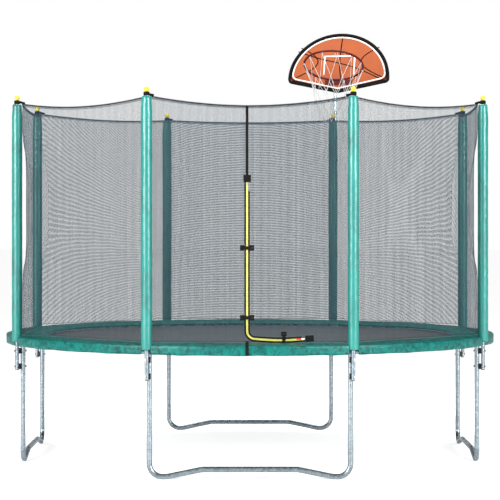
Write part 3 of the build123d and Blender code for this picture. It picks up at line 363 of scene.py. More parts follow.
@dataclass(frozen=True)
class Finish:
    """A surface finish: its material's name, record slot, colour in sRGB hex and the shader's even values."""

    name: str
    slot: str
    colour: str
    roughness: float
    metallic: float = 0.0
    ior: float = 1.5
    coat: float = 0.0
    coat_roughness: float = 0.1
    gloss: float = 0.5
    sheen: float = 0.0

    def surface(self, tree: bpy.types.NodeTree) -> tuple[object, object, object, float]:
        """The pattern: colour, roughness, height and the height's size in metres. Here a plain moulded skin."""
        place = add_node(tree, "TexCoord").outputs["Object"]
        grain = add_node(tree, "TexNoise", {"Vector": place, "Scale": 1 / (1.2 * MM), "Detail": 2.0})
        haze = add_node(tree, "TexNoise", {"Vector": place, "Scale": 1 / (60 * MM), "Detail": 3.0})
        rough = self.between(tree, haze.outputs["Fac"], self.roughness * 0.85, self.roughness * 1.2)
        return self.tinted(tree, haze.outputs["Fac"], 0.92, 1.08), rough, grain.outputs["Fac"], 0.03 * MM

    def between(self, tree: bpy.types.NodeTree, factor: bpy.types.NodeSocket,
                low: float, high: float) -> bpy.types.NodeSocket:
        """Spread a factor between two values."""
        return add_node(tree, "MapRange", {"Value": factor, "From Min": 0.3, "From Max": 0.7, "To Min": low,
                                           "To Max": high}).outputs["Result"]

    def tinted(self, tree: bpy.types.NodeTree, factor: bpy.types.NodeSocket,
               low: float, high: float) -> bpy.types.NodeSocket:
        """The finish's colour, made a little darker or lighter by a factor."""
        light = self.between(tree, factor, low, high)
        return add_node(tree, "VectorMath", {0: linear(self.colour)[:3], "Scale": light},
                        operation="SCALE").outputs["Vector"]

    def material(self) -> bpy.types.Material:
        """Build the material once and reuse it."""
        made = bpy.data.materials.get(self.name)
        if made:
            return made
        made = bpy.data.materials.new(self.name)
        made.use_nodes = True
        tree = made.node_tree
        shader = next(node for node in tree.nodes if node.type == "BSDF_PRINCIPLED")
        colour, rough, height, depth = self.surface(tree)
        tree.links.new(colour, shader.inputs["Base Color"])
        tree.links.new(rough, shader.inputs["Roughness"])
        bump = add_node(tree, "Bump", {"Height": height, "Strength": 1.0, "Distance": depth})
        tree.links.new(bump.outputs["Normal"], shader.inputs["Normal"])
        shader.inputs["Metallic"].default_value = self.metallic
        shader.inputs["IOR"].default_value = self.ior
        shader.inputs["Coat Weight"].default_value = self.coat
        shader.inputs["Coat Roughness"].default_value = self.coat_roughness
        shader.inputs["Sheen Weight"].default_value = self.sheen
        shader.inputs["Specular IOR Level"].default_value = self.gloss
        made.diffuse_color = linear(self.colour)
        return made

    def dress(self, piece: bpy.types.Object) -> bpy.types.Object:
        """Give a new piece this finish."""
        piece.data.materials.clear()
        piece.data.materials.append(self.material())
        return piece


@dataclass(frozen=True)
class ZincCoat(Finish):
    """Hot-dip galvanised steel: faint spangles of crystal and a slightly streaked, satin grey-blue skin."""

    spangle: float = 9 * MM

    def surface(self, tree: bpy.types.NodeTree) -> tuple[object, object, object, float]:
        """Crystals a few millimetres wide, each a little lighter or darker, over long faint streaks."""
        place = add_node(tree, "TexCoord").outputs["Object"]
        crystal = add_node(tree, "TexVoronoi", {"Vector": place, "Scale": 1 / self.spangle})
        one = add_node(tree, "SeparateColor", {"Color": crystal.outputs["Color"]}).outputs["Red"]
        streak = add_node(tree, "TexNoise", {"Vector": place, "Scale": 1 / (35 * MM), "Detail": 4.0,
                                             "Roughness": 0.6})
        both = add_node(tree, "Math", {0: one, 1: 0.35, 2: streak.outputs["Fac"]},
                        operation="MULTIPLY_ADD").outputs[0]
        mixed = add_node(tree, "Math", {0: both, 1: 0.74}, operation="MULTIPLY").outputs[0]
        rough = self.between(tree, mixed, self.roughness * 0.8, self.roughness * 1.25)
        fine = add_node(tree, "TexNoise", {"Vector": place, "Scale": 1 / (2.5 * MM), "Detail": 3.0})
        return self.tinted(tree, mixed, 0.78, 1.18), rough, fine.outputs["Fac"], 0.05 * MM


@dataclass(frozen=True)
class CoatedCloth(Finish):
    """PVC-coated polyester cloth: a glossy skin with a fine cloth grain and soft creases, with painted shade in
    their hollows and a painted highlight on their crests.
    """

    crease: float = 45 * MM
    crease_depth: float = 2.2 * MM
    # painted shade for the creases' hollows and a painted highlight for their crests, set by the same noise as
    # the bump
    crease_shade: str = "0b5f57"
    light: str = "35b8a9"
    stretch: Point = (1.0, 1.0, 1.0)

    def surface(self, tree: bpy.types.NodeTree) -> tuple[object, object, object, float]:
        """Creases from stretched noise, with the weave of the backing cloth just telling through; the colour is
        painted shade in the hollows and a painted highlight on the crests.
        """
        place = add_node(tree, "TexCoord").outputs["Object"]
        drawn = add_node(tree, "Mapping", {"Vector": place, "Scale": self.stretch}).outputs["Vector"]
        folds = add_node(tree, "TexNoise", {"Vector": drawn, "Scale": 1 / self.crease, "Detail": 5.0,
                                            "Roughness": 0.62, "Distortion": 0.8})
        weave = add_node(tree, "TexVoronoi", {"Vector": place, "Scale": 1 / (1.0 * MM)})
        grain = add_node(tree, "Math", {0: weave.outputs["Distance"], 1: 0.02, 2: folds.outputs["Fac"]},
                         operation="MULTIPLY_ADD").outputs[0]
        # painted shade and highlight: the colour follows the folds' height, darker in the hollows and lighter
        # on the crests
        colour = ramp(tree, folds.outputs["Fac"], [(0.3, self.crease_shade), (0.48, self.colour), (0.72, self.light)])
        rough = self.between(tree, folds.outputs["Fac"], self.roughness * 1.2, self.roughness * 0.8)
        return colour, rough, grain, self.crease_depth


@dataclass(frozen=True)
class Webbing(Finish):
    """Woven polypropylene or polyester webbing: a herringbone of fine ribs that catches little light."""

    rib: float = 1.6 * MM

    def surface(self, tree: bpy.types.NodeTree) -> tuple[object, object, object, float]:
        """Ribs across and along the strap, on its own cloth map; drawn as coarse as they need to show."""
        cloth = add_node(tree, "UVMap").outputs["UV"]
        across = add_node(tree, "TexWave", {"Vector": cloth, "Scale": 1 / self.rib / 20, "Distortion": 0.6,
                                            "Detail": 1.0}, bands_direction="X")
        along = add_node(tree, "TexWave", {"Vector": cloth, "Scale": 1 / self.rib / 14, "Distortion": 0.4,
                                           "Detail": 1.0}, bands_direction="Y")
        ribs = add_node(tree, "Math", {0: across.outputs["Fac"], 1: along.outputs["Fac"]},
                        operation="MULTIPLY").outputs[0]
        wear = add_node(tree, "TexNoise", {"Vector": add_node(tree, "TexCoord").outputs["Object"],
                                           "Scale": 1 / (25 * MM), "Detail": 3.0})
        both = add_node(tree, "Math", {0: ribs, 1: 0.45, 2: wear.outputs["Fac"]},
                        operation="MULTIPLY_ADD").outputs[0]
        colour = self.tinted(tree, both, 0.7, 1.35)
        return colour, self.between(tree, both, self.roughness, self.roughness * 0.85), ribs, 0.25 * MM


@dataclass(frozen=True)
class Yarn(Finish):
    """Twisted or braided yarn: slanting strands along a thin cord, on the cord's own map."""

    strand: float = 4 * MM

    def surface(self, tree: bpy.types.NodeTree) -> tuple[object, object, object, float]:
        """Diagonal bands as far apart as the strands."""
        place = add_node(tree, "TexCoord").outputs["Object"]
        twist = add_node(tree, "TexWave", {"Vector": place, "Scale": 1 / self.strand / 20, "Distortion": 1.5,
                                           "Detail": 2.0},
                         bands_direction="DIAGONAL")
        soil = add_node(tree, "TexNoise", {"Vector": place, "Scale": 1 / (40 * MM), "Detail": 2.0})
        both = add_node(tree, "Math", {0: twist.outputs["Fac"], 1: 0.4, 2: soil.outputs["Fac"]},
                        operation="MULTIPLY_ADD").outputs[0]
        rough = self.between(tree, both, self.roughness, self.roughness * 0.9)
        return self.tinted(tree, both, 0.8, 1.15), rough, twist.outputs["Fac"], 0.3 * MM


@dataclass(frozen=True)
class WovenBed(Finish):
    """Woven polypropylene mat cloth: a tight basket weave with a dull shine, greyed by patches of dust."""

    thread: float = 6 * MM

    def surface(self, tree: bpy.types.NodeTree) -> tuple[object, object, object, float]:
        """Checked threads, drawn coarser than the real 2 mm so that they show."""
        place = add_node(tree, "TexCoord").outputs["Object"]
        check = add_node(tree, "TexBrick", {"Vector": place, "Scale": 1.0, "Mortar Size": 0.6 * MM,
                                            "Brick Width": self.thread, "Row Height": self.thread / 2,
                                            "Mortar Smooth": 0.6, "Color1": (1, 1, 1, 1),
                                            "Color2": (0.55, 0.55, 0.55, 1), "Mortar": (0, 0, 0, 1)})
        dust = add_node(tree, "TexNoise", {"Vector": place, "Scale": 1 / (350 * MM), "Detail": 5.0,
                                           "Roughness": 0.6})
        tone = add_node(tree, "SeparateColor", {"Color": check.outputs["Color"]}).outputs["Red"]
        both = add_node(tree, "Math", {0: tone, 1: 0.3, 2: dust.outputs["Fac"]},
                        operation="MULTIPLY_ADD").outputs[0]
        colour = self.tinted(tree, both, 0.75, 1.4)
        return colour, self.between(tree, both, self.roughness, self.roughness * 0.8), tone, 0.4 * MM


TUBE_ZINC = ZincCoat("galvanised_tube_steel", "galvanised_tube", "a9b6be", 0.27, metallic=0.95)
POLE_ZINC = ZincCoat("galvanised_pole_steel", "pole_tube", "a3b0b9", 0.27, metallic=0.95, spangle=7 * MM)
BOLT_ZINC = ZincCoat("zinc_plated_bolt_steel", "zinc_hardware", "b9bcb8", 0.28, metallic=0.95, spangle=2 * MM)
SPRING_WIRE = ZincCoat("galvanised_spring_wire", "spring_steel", "a9adb0", 0.3, metallic=0.95, spangle=1.5 * MM)
ZIP_METAL = ZincCoat("die_cast_zip_metal", "zip_metal", "9c9fa2", 0.35, metallic=0.9, spangle=3 * MM)
BLACK_PLASTIC = Finish("moulded_black_polypropylene", "black_plastic", "0c0d0e", 0.5, ior=1.49)
BLACK_RUBBER = Finish("moulded_black_rubber_trim", "black_plastic", "040405", 0.8, ior=1.52, gloss=0.15)
YELLOW_PLASTIC = Finish("moulded_yellow_polyethylene", "yellow_plastic", "e6d431", 0.3, ior=1.51, coat=0.15)
# the sleeve and pad cloths' darker and lighter crease colours are painted shade in the hollows and a painted
# highlight on the crests
SLEEVE_CLOTH = CoatedCloth("glossy_pvc_sleeve_cloth", "teal_vinyl", "0b857c", 0.36, ior=1.55, coat=0.6,
                           coat_roughness=0.34, crease=90 * MM,
                           crease_depth=0.8 * MM, crease_shade="086e66", light="129488", stretch=(1.0, 1.0, 0.35))
PAD_CLOTH = CoatedCloth("glossy_pvc_pad_cloth", "teal_vinyl", "04655e", 0.36, ior=1.53, gloss=0.25,
                        crease=34 * MM,
                        crease_depth=3.2 * MM, crease_shade="02332f", light="0c877d")
MAT_CLOTH = WovenBed("woven_polypropylene_mat", "mat_fabric", "2b2d30", 0.62, ior=1.49, sheen=0.1)
BLACK_WEBBING = Webbing("woven_black_webbing", "black_webbing", "0b0b0c", 0.85, gloss=0.2)
PALE_WEBBING = Webbing("woven_charcoal_webbing", "black_webbing", "34363a", 0.75, sheen=0.1)
ZIP_TAPE = Webbing("woven_zip_tape", "zip_tape", "08090a", 0.8, gloss=0.2, rib=1.0 * MM)
ZIP_TEETH = Finish("moulded_yellow_zip_teeth", "zip_tape", "f2ee74", 0.4, ior=1.53)
PULL_CLOTH = Webbing("woven_red_ribbon", "pull_ribbon", "c8281f", 0.65, rib=1.2 * MM)
PULL_WHITE = Webbing("woven_white_ribbon", "pull_ribbon", "f1efe9", 0.65, rib=1.2 * MM)
NET_YARN = Yarn("knitted_polyethylene_net_yarn", "net_mesh", "1a3947", 0.7, ior=1.51, strand=3 * MM)
BLACK_CORD = Yarn("braided_black_hem_cord", "black_webbing", "060607", 0.6, strand=5 * MM)
WHITE_CORD = Yarn("braided_white_nylon_cord", "white_cord", "cbccca", 0.6, strand=5 * MM)
BOARD_PRINT = Finish("printed_orange_board", "orange_board", "a64c12", 0.6, ior=1.52, coat=0.0)
BLACK_PRINT = Finish("printed_black_lines", "orange_board", "040404", 0.7, ior=1.52, gloss=0.15)
WHITE_PRINT = Finish("printed_white_lines", "orange_board", "f4f2ee", 0.4, ior=1.52)
RED_ENAMEL = Finish("baked_dark_red_enamel", "red_enamel", "5c070b", 0.45, ior=1.5, coat=0.0, gloss=0.3)
BLACK_POWDER = Finish("black_powder_coat", "black_bracket", "1a1a1b", 0.5, ior=1.5)


class Kept(Enum):
    """The frame's own nodes that stay in view, by the finish that they take."""

    TUBES = (TUBE_ZINC, tuple(f"rail_segment_{n}" for n in range(1, 9))
             + ("rail_tee_joints", "leg_extensions", "hoop_mast")
             + tuple(f"leg_base_{side}" for side in ("front", "left", "rear", "right")))
    POLES = (POLE_ZINC, tuple(f"net_pole_{n}" for n in range(1, 9)))
    FIXINGS = (BOLT_ZINC, ("frame_screws", "pole_bolts", "pole_nuts", "hoop_bolts"))
    RINGS = (SPRING_WIRE, ("mat_v_rings",))
    PLASTIC = (BLACK_PLASTIC, ("pole_saddles", "pole_end_plugs", "pole_cap_collars"))
    TRIM = (BLACK_RUBBER, ("board_edge_trim",))
    ZIP = (ZIP_METAL, ("zip_slider",))
    BOARD = (BOARD_PRINT, ("backboard",))
    RIM = (RED_ENAMEL, ("hoop_rim",))
    BRACKETS = (BLACK_POWDER, ("hoop_clamps", "board_brackets"))
    BALLS = (YELLOW_PLASTIC, ("pole_cap_balls",))


def dress_kept_nodes(nodes: dict[str, bpy.types.Object]) -> None:
    """Give every kept node its finish.

    Args:
        nodes: the frame's nodes by name.
    """
    for kept in Kept:
        finish, names = kept.value
        for name in names:
            mesh = nodes[name].data
            mesh.materials.clear()
            mesh.materials.append(finish.material())
            LOG.info("node %s takes %s", name, finish.name)


# Places read from the frame ------------------------------------------------------------------------------


@dataclass
class Layout:
    """The trampoline's main sizes, read from the frame's nodes, in metres."""

    sides: int = 8
    rail_radius: float = 0.0
    rail_height: float = 0.0
    ring_radius: float = 0.0
    pole_circle: float = 0.0
    sleeve_radius: float = 0.0
    sleeve_low: float = 0.0
    sleeve_high: float = 0.0
    net_face: float = 0.0
    net_low: float = 0.0
    net_high: float = 0.0
    corner_radius: float = 0.0
    pad_high: float = 0.0
    pad_outer: float = 0.0
    skirt_low: float = 0.0

    @classmethod
    def read(cls) -> "Layout":
        """Measure the frame."""
        layout = cls()
        rail_lo, rail_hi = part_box("rail_segment_1")
        layout.rail_radius = (rail_hi.z - rail_lo.z) / 2
        layout.rail_height = (rail_hi.z + rail_lo.z) / 2
        layout.ring_radius = rail_hi.x - layout.rail_radius
        pole_lo, pole_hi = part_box("net_pole_1")
        middle = (pole_lo + pole_hi) / 2
        layout.pole_circle = math.hypot(middle.x, middle.y)
        sleeve_lo, sleeve_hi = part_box("pole_foam_sleeves")
        layout.sleeve_radius = sleeve_hi.x - middle.x
        layout.sleeve_low, layout.sleeve_high = sleeve_lo.z, sleeve_hi.z
        net_lo, net_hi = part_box("net_panels")
        layout.net_face, layout.net_low, layout.net_high = net_hi.y, net_lo.z, net_hi.z
        layout.corner_radius = layout.net_face / math.cos(math.pi / layout.sides)
        pad_lo, pad_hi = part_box("safety_pad")
        layout.pad_high, layout.pad_outer, layout.skirt_low = pad_hi.z, pad_hi.x, pad_lo.z
        return layout

    @property
    def step(self) -> float:
        """The angle between two poles, in degrees."""
        return 360 / self.sides

    @property
    def corners(self) -> list[float]:
        """The poles' angles in degrees, from the first one after +X."""
        return [self.step * (index + 0.5) for index in range(self.sides)]

    @property
    def half_width(self) -> float:
        """Half the width of one net panel."""
        return self.net_face * math.tan(math.pi / self.sides)


# Legs, poles and padding ---------------------------------------------------------------------------------


@dataclass
class PoleSleeves:
    """Eight padded sleeves: glossy coated cloth over foam, gathered at the top and sewn up the inner side."""

    layout: Layout
    neck: float = 34 * MM
    neck_length: float = 55 * MM
    puff: float = 6.5 * MM
    bore: float = 14.6 * MM
    tee_radius: float = 22.8 * MM
    rings: int = 190
    sides: int = 40
    dent: float = 1.1 * MM
    welt: float = 2.2 * MM

    def radius_at(self, height: np.ndarray) -> np.ndarray:
        """The sleeve's radius by height: full, easing in to the neck, and drawn in at both hems."""
        full, top = self.layout.sleeve_radius + self.puff - 1.5 * MM, self.layout.sleeve_high
        ease = np.clip((height - (top - self.neck_length - 40 * MM)) / (60 * MM), 0, 1)
        radius = full + (self.neck - full) * ease * ease * (3 - 2 * ease)
        hem = np.clip((top - height) / (14 * MM), 0, 1)
        foot = np.clip((height - self.layout.sleeve_low) / (60 * MM), 0, 1)
        return radius * (0.86 + 0.14 * np.sqrt(hem)) * (0.9 + 0.1 * np.sqrt(foot))

    def build(self) -> list[bpy.types.Object]:
        """Make the eight sleeves, each with its own creases."""
        made = []
        low, high = self.layout.sleeve_low, self.layout.sleeve_high
        height = np.linspace(low, high, self.rings)
        turn = np.linspace(0, 2 * math.pi, self.sides, endpoint=False)
        for index, angle in enumerate(self.layout.corners):
            tall, round_it = np.meshgrid(height, turn, indexing="ij")
            phase = 2.4 * index
            folds = wave(tall * 21 + phase + 0.8 * np.sin(round_it), tall * 9 - 1.5 * round_it + phase) \
                + 0.5 * wave(tall * 75 + 2 * np.sin(round_it * 2 + phase) + phase)
            radius = self.radius_at(tall) + self.dent * folds
            radius += self.welt * np.exp(-((round_it - math.pi) / 0.09) ** 2)
            radius = np.minimum(radius, self.layout.sleeve_radius + self.puff)
            x = self.layout.pole_circle + radius * np.cos(round_it)
            y = radius * np.sin(round_it)
            over = np.sqrt(np.maximum(self.tee_radius ** 2 - (x - self.layout.ring_radius) ** 2, 0))
            floor = np.where(over > 0, self.layout.rail_height + over, 0)
            z = np.maximum(tall, floor)
            shell = np.stack([x, y, z], axis=2)
            inner = [np.stack([self.layout.pole_circle + self.bore * np.cos(turn), self.bore * np.sin(turn),
                               np.full(self.sides, place)], axis=1) for place in (high, low + 16 * MM)]
            points = np.concatenate([shell.reshape(-1, 3), *inner])
            faces = [(r * self.sides + c, r * self.sides + (c + 1) % self.sides,
                      (r + 1) * self.sides + (c + 1) % self.sides, (r + 1) * self.sides + c)
                     for r in range(self.rings + 1) for c in range(self.sides)]
            last = self.rings + 1
            faces += [(last * self.sides + c, last * self.sides + (c + 1) % self.sides,
                       (c + 1) % self.sides, c) for c in range(self.sides)]
            sleeve = facing_out(mesh_piece(f"pole_sleeve_{index + 1}", turn_points(points, angle), faces))
            SLEEVE_CLOTH.dress(sleeve)
            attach(sleeve, "frame")
            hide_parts("pole_foam_sleeves")
            made.append(sleeve)
        LOG.info("made %d pole sleeves", len(made))
        return made


@dataclass
class SafetyPad:
    """Eight padded sectors over the springs, with a gathered seam, a thin skirt and a notch at each pole."""

    layout: Layout
    inner_radius: float = PAD_INNER
    rail_gap: float = 27 * MM
    inner_edge: float = 10 * MM
    outer_edge: float = 14 * MM
    skirt: float = 4 * MM
    notch: float = 37 * MM
    column: float = 12.5 * MM
    gather: float = 5.0 * MM
    seam_gap: float = 0.5 * MM

    @property
    def bottom(self) -> float:
        """The height of the pad's underside."""
        return self.layout.rail_height + self.rail_gap

    def profile(self) -> tuple[np.ndarray, np.ndarray]:
        """The section from the inner underside round to the skirt's inner face.

        Returns:
            (radius, height) points, and for each how far it is on the crown, 0 to 1.
        """
        outer, bottom, high = self.layout.pad_outer, self.bottom, self.layout.pad_high - 3 * MM
        crown, mid = [], (self.inner_radius + outer) / 2
        for share in np.linspace(0, 1, 26):
            radius = self.inner_radius + 2 * MM + (outer - self.inner_radius - 4 * MM) * share
            low = self.inner_edge + (self.outer_edge - self.inner_edge) * share
            rise = 1 - abs((radius - mid) / (mid - self.inner_radius)) ** 2.6
            crown.append((radius, bottom + low + (high - bottom - low) * rise))
        face = [(outer - 0.5 * MM, bottom + self.outer_edge - drop * MM) for drop in (3, 8, 14, 24, 36, 50)]
        hem = [(outer - 1 * MM, self.layout.skirt_low + 1 * MM),
               (outer - self.skirt, self.layout.skirt_low + 1 * MM),
               (outer - self.skirt, bottom - 1 * MM)]
        under = [(self.inner_radius + (outer - self.inner_radius) * share, bottom)
                 for share in (0.85, 0.6, 0.3, 0.05)]
        side = [(self.inner_radius, bottom + 2 * MM), (self.inner_radius, bottom + 7 * MM)]
        return np.array(side + crown + face + hem + under), np.array(
            [0.0] * 2 + [1.0] * 26 + [0.8, 0.6, 0.5, 0.5, 0.5, 0.4] + [0.3, 0.0, 0.0] + [0.0] * 4)

    def columns(self) -> np.ndarray:
        """The sector's columns as distances along the outer edge from its middle, closer at the notches."""
        half = math.radians(self.layout.step / 2) * self.layout.pad_outer
        near = np.array([0.3, 6, 12, 18, 24, 29, 33, 35.5, 36.8, 37.3, 38.5, 44]) * MM
        ends = half - near[::-1]
        plain = np.arange(0, ends[0] - self.column / 2, self.column)
        right = np.concatenate([plain[1:], ends])
        return np.concatenate([-right[::-1], [0.0], right])

    def build(self) -> list[bpy.types.Object]:
        """Make the eight sectors."""
        outline, crown = self.profile()
        along = self.columns()
        outer, half = self.layout.pad_outer, math.radians(self.layout.step / 2) * self.layout.pad_outer
        made = []
        for side in range(self.layout.sides):
            s, r = np.meshgrid(along, outline[:, 0], indexing="ij")
            z = np.broadcast_to(outline[:, 1], s.shape).copy()
            weight = np.broadcast_to(crown, s.shape)
            phase = 3.1 * side
            creases = wave(s * 55 + phase + 3 * np.sin(r * 40), s * 23 - r * 61 + phase) * 1.3 * MM \
                + wave(s * 140 + 2 * np.sin(r * 95 + phase)) * 0.8 * MM
            slump = wave(s * 9 + phase, r * 14 - s * 5) * 2.2 * MM
            z += weight * (creases + slump) * (z > self.bottom + 6 * MM)
            seam = np.exp(-((r - outer + 8 * MM) / (15 * MM)) ** 2) * (z > self.bottom)
            pleat = wave(s * 205 + phase, s * 131 - phase)
            r = r - seam * weight * self.gather * (0.5 + 0.5 * pleat)
            hanging = np.clip((self.bottom + 4 * MM - z) / (40 * MM), 0, 1) * (r > outer - 12 * MM)
            r = r - hanging * (1.5 + 1.5 * wave(s * 31 + phase, s * 12)) * MM
            z = np.where(hanging > 0.9, z + 2.0 * MM * wave(s * 17 - phase), z)
            away = half - np.abs(s)
            inside = away < self.notch
            limit = self.layout.pole_circle - np.sqrt(np.maximum(self.notch ** 2 - away ** 2, 0))
            scale = (limit - self.inner_radius) / (outer - self.inner_radius)
            r = np.where(inside, self.inner_radius + (r - self.inner_radius) * scale, r)
            z = np.where(inside, np.maximum(z, self.bottom), z)
            turn = math.radians(self.layout.step * side) + s / outer
            end = np.abs(s) > half - 1 * MM
            turn = np.where(end, turn - np.sign(s) * self.seam_gap / 2 / r, turn)
            points = np.stack([r * np.cos(turn), r * np.sin(turn), z], axis=2)
            rows, count = s.shape
            faces = [(a * count + b, (a + 1) * count + b,
                      (a + 1) * count + (b + 1) % count, a * count + (b + 1) % count)
                     for a in range(rows - 1) for b in range(count)]
            faces += [tuple(range(count)), tuple((rows - 1) * count + b for b in range(count - 1, -1, -1))]
            pad = facing_out(mesh_piece(f"safety_pad_{side + 1}", points.reshape(-1, 3), faces))
            PAD_CLOTH.dress(pad)
            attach(pad, "frame")
            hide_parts("safety_pad")
            made.append(pad)
        LOG.info("made %d pad sectors", len(made))
        return made

    def ties(self) -> bpy.types.Object:
        """The elastic loops that hold the pad to the rail."""
        radius, parts = self.layout.rail_radius + 1.2 * MM, []
        turn = np.linspace(0, 2 * math.pi, 25)
        for side in range(self.layout.sides):
            for offset in (-12.5, 12.5):
                loop = np.stack([self.layout.ring_radius + radius * np.cos(turn), np.zeros(25),
                                 self.layout.rail_height + radius * np.sin(turn)], axis=1)
                outward = np.stack([np.cos(turn), np.zeros(25), np.sin(turn)], axis=1)
                angle = self.layout.step * side + offset
                parts.append(strap("tie", turn_points(loop, angle), turn_points(outward, angle),
                                   20 * MM, 1.4 * MM))
        ties = BLACK_WEBBING.dress(join("pad_tie_loops", parts))
        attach(ties, "frame")
        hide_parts("pad_ties")
        return ties


# Jumping bed ---------------------------------------------------------------------------------------------


@dataclass
class JumpingBed:
    """The round mat, its webbing edge with two rows of stitches, and the coil springs."""

    layout: Layout
    springs: int = 72
    webbing_width: float = 45 * MM
    coil_radius: float = 9.6 * MM
    wire: float = 1.4 * MM
    turns: int = 27
    coil_start: float = 1646 * MM
    coil_length: float = 110 * MM
    ring_tip: float = 1607.85 * MM
    rail_face: float = 1793.84 * MM
    hook_wire: float = 1.7 * MM

    def mat(self) -> bpy.types.Object:
        """The mat: a disc cut in rings and spokes, dished a little under its own weight, and hemmed."""
        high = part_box("jump_mat")[1]
        radius = high.x
        deselect()
        bpy.ops.mesh.primitive_circle_add(vertices=96, radius=radius, fill_type="NGON",
                                          location=(0, 0, high.z - 1 * MM))
        mat = named("jump_mat_cloth")
        bpy.ops.object.mode_set(mode="EDIT")
        for width in (4, 14, 22, 60, 150, 250, 300, 330, 250):
            bpy.ops.mesh.select_all(action="DESELECT")
            shape = bmesh.from_edit_mesh(mat.data)
            shape.faces.ensure_lookup_table()
            for face in shape.faces:
                face.select = len(face.verts) > 4
            bmesh.update_edit_mesh(mat.data)
            bpy.ops.mesh.inset(thickness=width * MM, depth=0)
        bpy.ops.mesh.poke()
        bpy.ops.mesh.select_all(action="DESELECT")
        bpy.ops.object.mode_set(mode="OBJECT")
        settle(mat)
        for vertex in mat.data.vertices:
            reach = vertex.co.xy.length
            hem = 0.5 * MM if radius - 42 * MM < reach < radius - 16 * MM else 0.0
            vertex.co.z += hem - 1.2 * MM * (1 - (reach / radius) ** 2)
        modifier(mat, "SOLIDIFY", thickness=1.6 * MM, offset=-1.0, use_even_offset=True)
        smooth(mat, 50)
        MAT_CLOTH.dress(mat)
        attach(mat, "bed")
        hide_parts("jump_mat")
        self.webbing()
        self.stitches(radius, high.z)
        return mat

    def webbing(self) -> bpy.types.Object:
        """The webbing under the mat's edge that the rings are sewn into."""
        low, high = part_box("mat_edge_webbing")
        middle = high.x - self.webbing_width / 2
        turn = np.linspace(0, 2 * math.pi, 289)
        path = np.stack([middle * np.cos(turn), middle * np.sin(turn),
                         np.full(289, (low.z + high.z) / 2)], axis=1)
        ring = strap("mat_edge_band", path, (0, 0, 1), self.webbing_width, high.z - low.z)
        BLACK_WEBBING.dress(ring)
        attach(ring, "bed")
        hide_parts("mat_edge_webbing")
        return ring

    def stitches(self, radius: float, top: float) -> bpy.types.Object:
        """Two rows of long lock stitches, drawn larger than real so that they show."""
        deselect()
        bpy.ops.mesh.primitive_cube_add(size=1, location=(radius - 20 * MM, 0, top - 0.6 * MM))
        seed = named("stitch")
        seed.scale = (1.6 * MM, 9 * MM, 1.2 * MM)
        settle(seed)
        parts = []
        for inset, shift in ((0.0, 0.0), (18 * MM, 0.5)):
            for index in range(360):
                move = turned(index + shift) @ Matrix.Translation((-inset, 0, 0.2 * MM))
                parts.append(copy_of(seed, "stitch", move))
        bpy.data.objects.remove(seed)
        rows = PALE_WEBBING.dress(join("mat_stitch_rows", parts))
        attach(rows, "bed")
        return rows

    def spring(self) -> bpy.types.Object:
        """One coil spring on +X with a hook at each end: a round wire turned about its axis."""
        height = self.layout.rail_height + 10 * MM
        deselect()
        bpy.ops.mesh.primitive_circle_add(vertices=5, radius=self.wire, location=(self.coil_radius, 0, 0),
                                          rotation=(math.pi / 2, 0, 0))
        coil = named("coil")
        settle(coil)
        modifier(coil, "SCREW", angle=2 * math.pi * self.turns, screw_offset=self.coil_length - 2 * self.wire,
                 steps=9 * self.turns, render_steps=9 * self.turns, axis="Z", use_smooth_shade=True)
        bpy.ops.object.mode_set(mode="EDIT")
        bpy.ops.mesh.select_all(action="DESELECT")
        bpy.ops.mesh.select_non_manifold()
        bpy.ops.mesh.edge_face_add()
        bpy.ops.object.mode_set(mode="OBJECT")
        start = Matrix.Translation((self.coil_start + self.wire, 0, height))
        coil.data.transform(start @ Matrix.Rotation(math.pi / 2, 4, "Y"))
        facing_out(coil)
        end = self.coil_start + self.coil_length
        over = height + 5.25 * MM
        inner = soft_path([(self.coil_start + 3 * MM, self.coil_radius, height),
                           (self.coil_start - 4 * MM, 0.004, height),
                           (self.coil_start - 14 * MM, 0, height), (self.ring_tip + 12 * MM, 0, over),
                           (self.ring_tip, 0, over), (self.ring_tip - 6 * MM, 0, over - 1 * MM),
                           (self.ring_tip - 5.2 * MM, 0, over - 8 * MM)], 5)
        outer = soft_path([(end - 3 * MM, self.coil_radius, height), (end + 5 * MM, 0.004, height),
                           (end + 14 * MM, 0, height), (self.rail_face + 4 * MM, 0, height),
                           (self.rail_face + 9 * MM, 0, height - 1 * MM),
                           (self.rail_face + 8 * MM, 0, height - 8 * MM)], 5)
        hooks = [tube("hook", path, self.hook_wire, 6) for path in (inner, outer)]
        return join("spring", [coil, *hooks])

    def coil_springs(self) -> list[bpy.types.Object]:
        """Copy the spring round the bed, each from the rail to its ring."""
        seed = self.spring()
        SPRING_WIRE.dress(seed)
        made = []
        for index in range(self.springs):
            angle = 360 / self.springs * index
            spring = copy_of(seed, f"coil_spring_{index + 1}", turned(angle))
            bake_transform(spring)
            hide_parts("springs")
            made.append(spring)
        bpy.data.objects.remove(seed)
        LOG.info("made %d coil springs", len(made))
        return made


# Enclosure net -------------------------------------------------------------------------------------------


class Zone(Enum):
    """Where a place on the front panel belongs."""

    PANEL = "panel"
    FLAP = "flap"
    OPEN = "open"


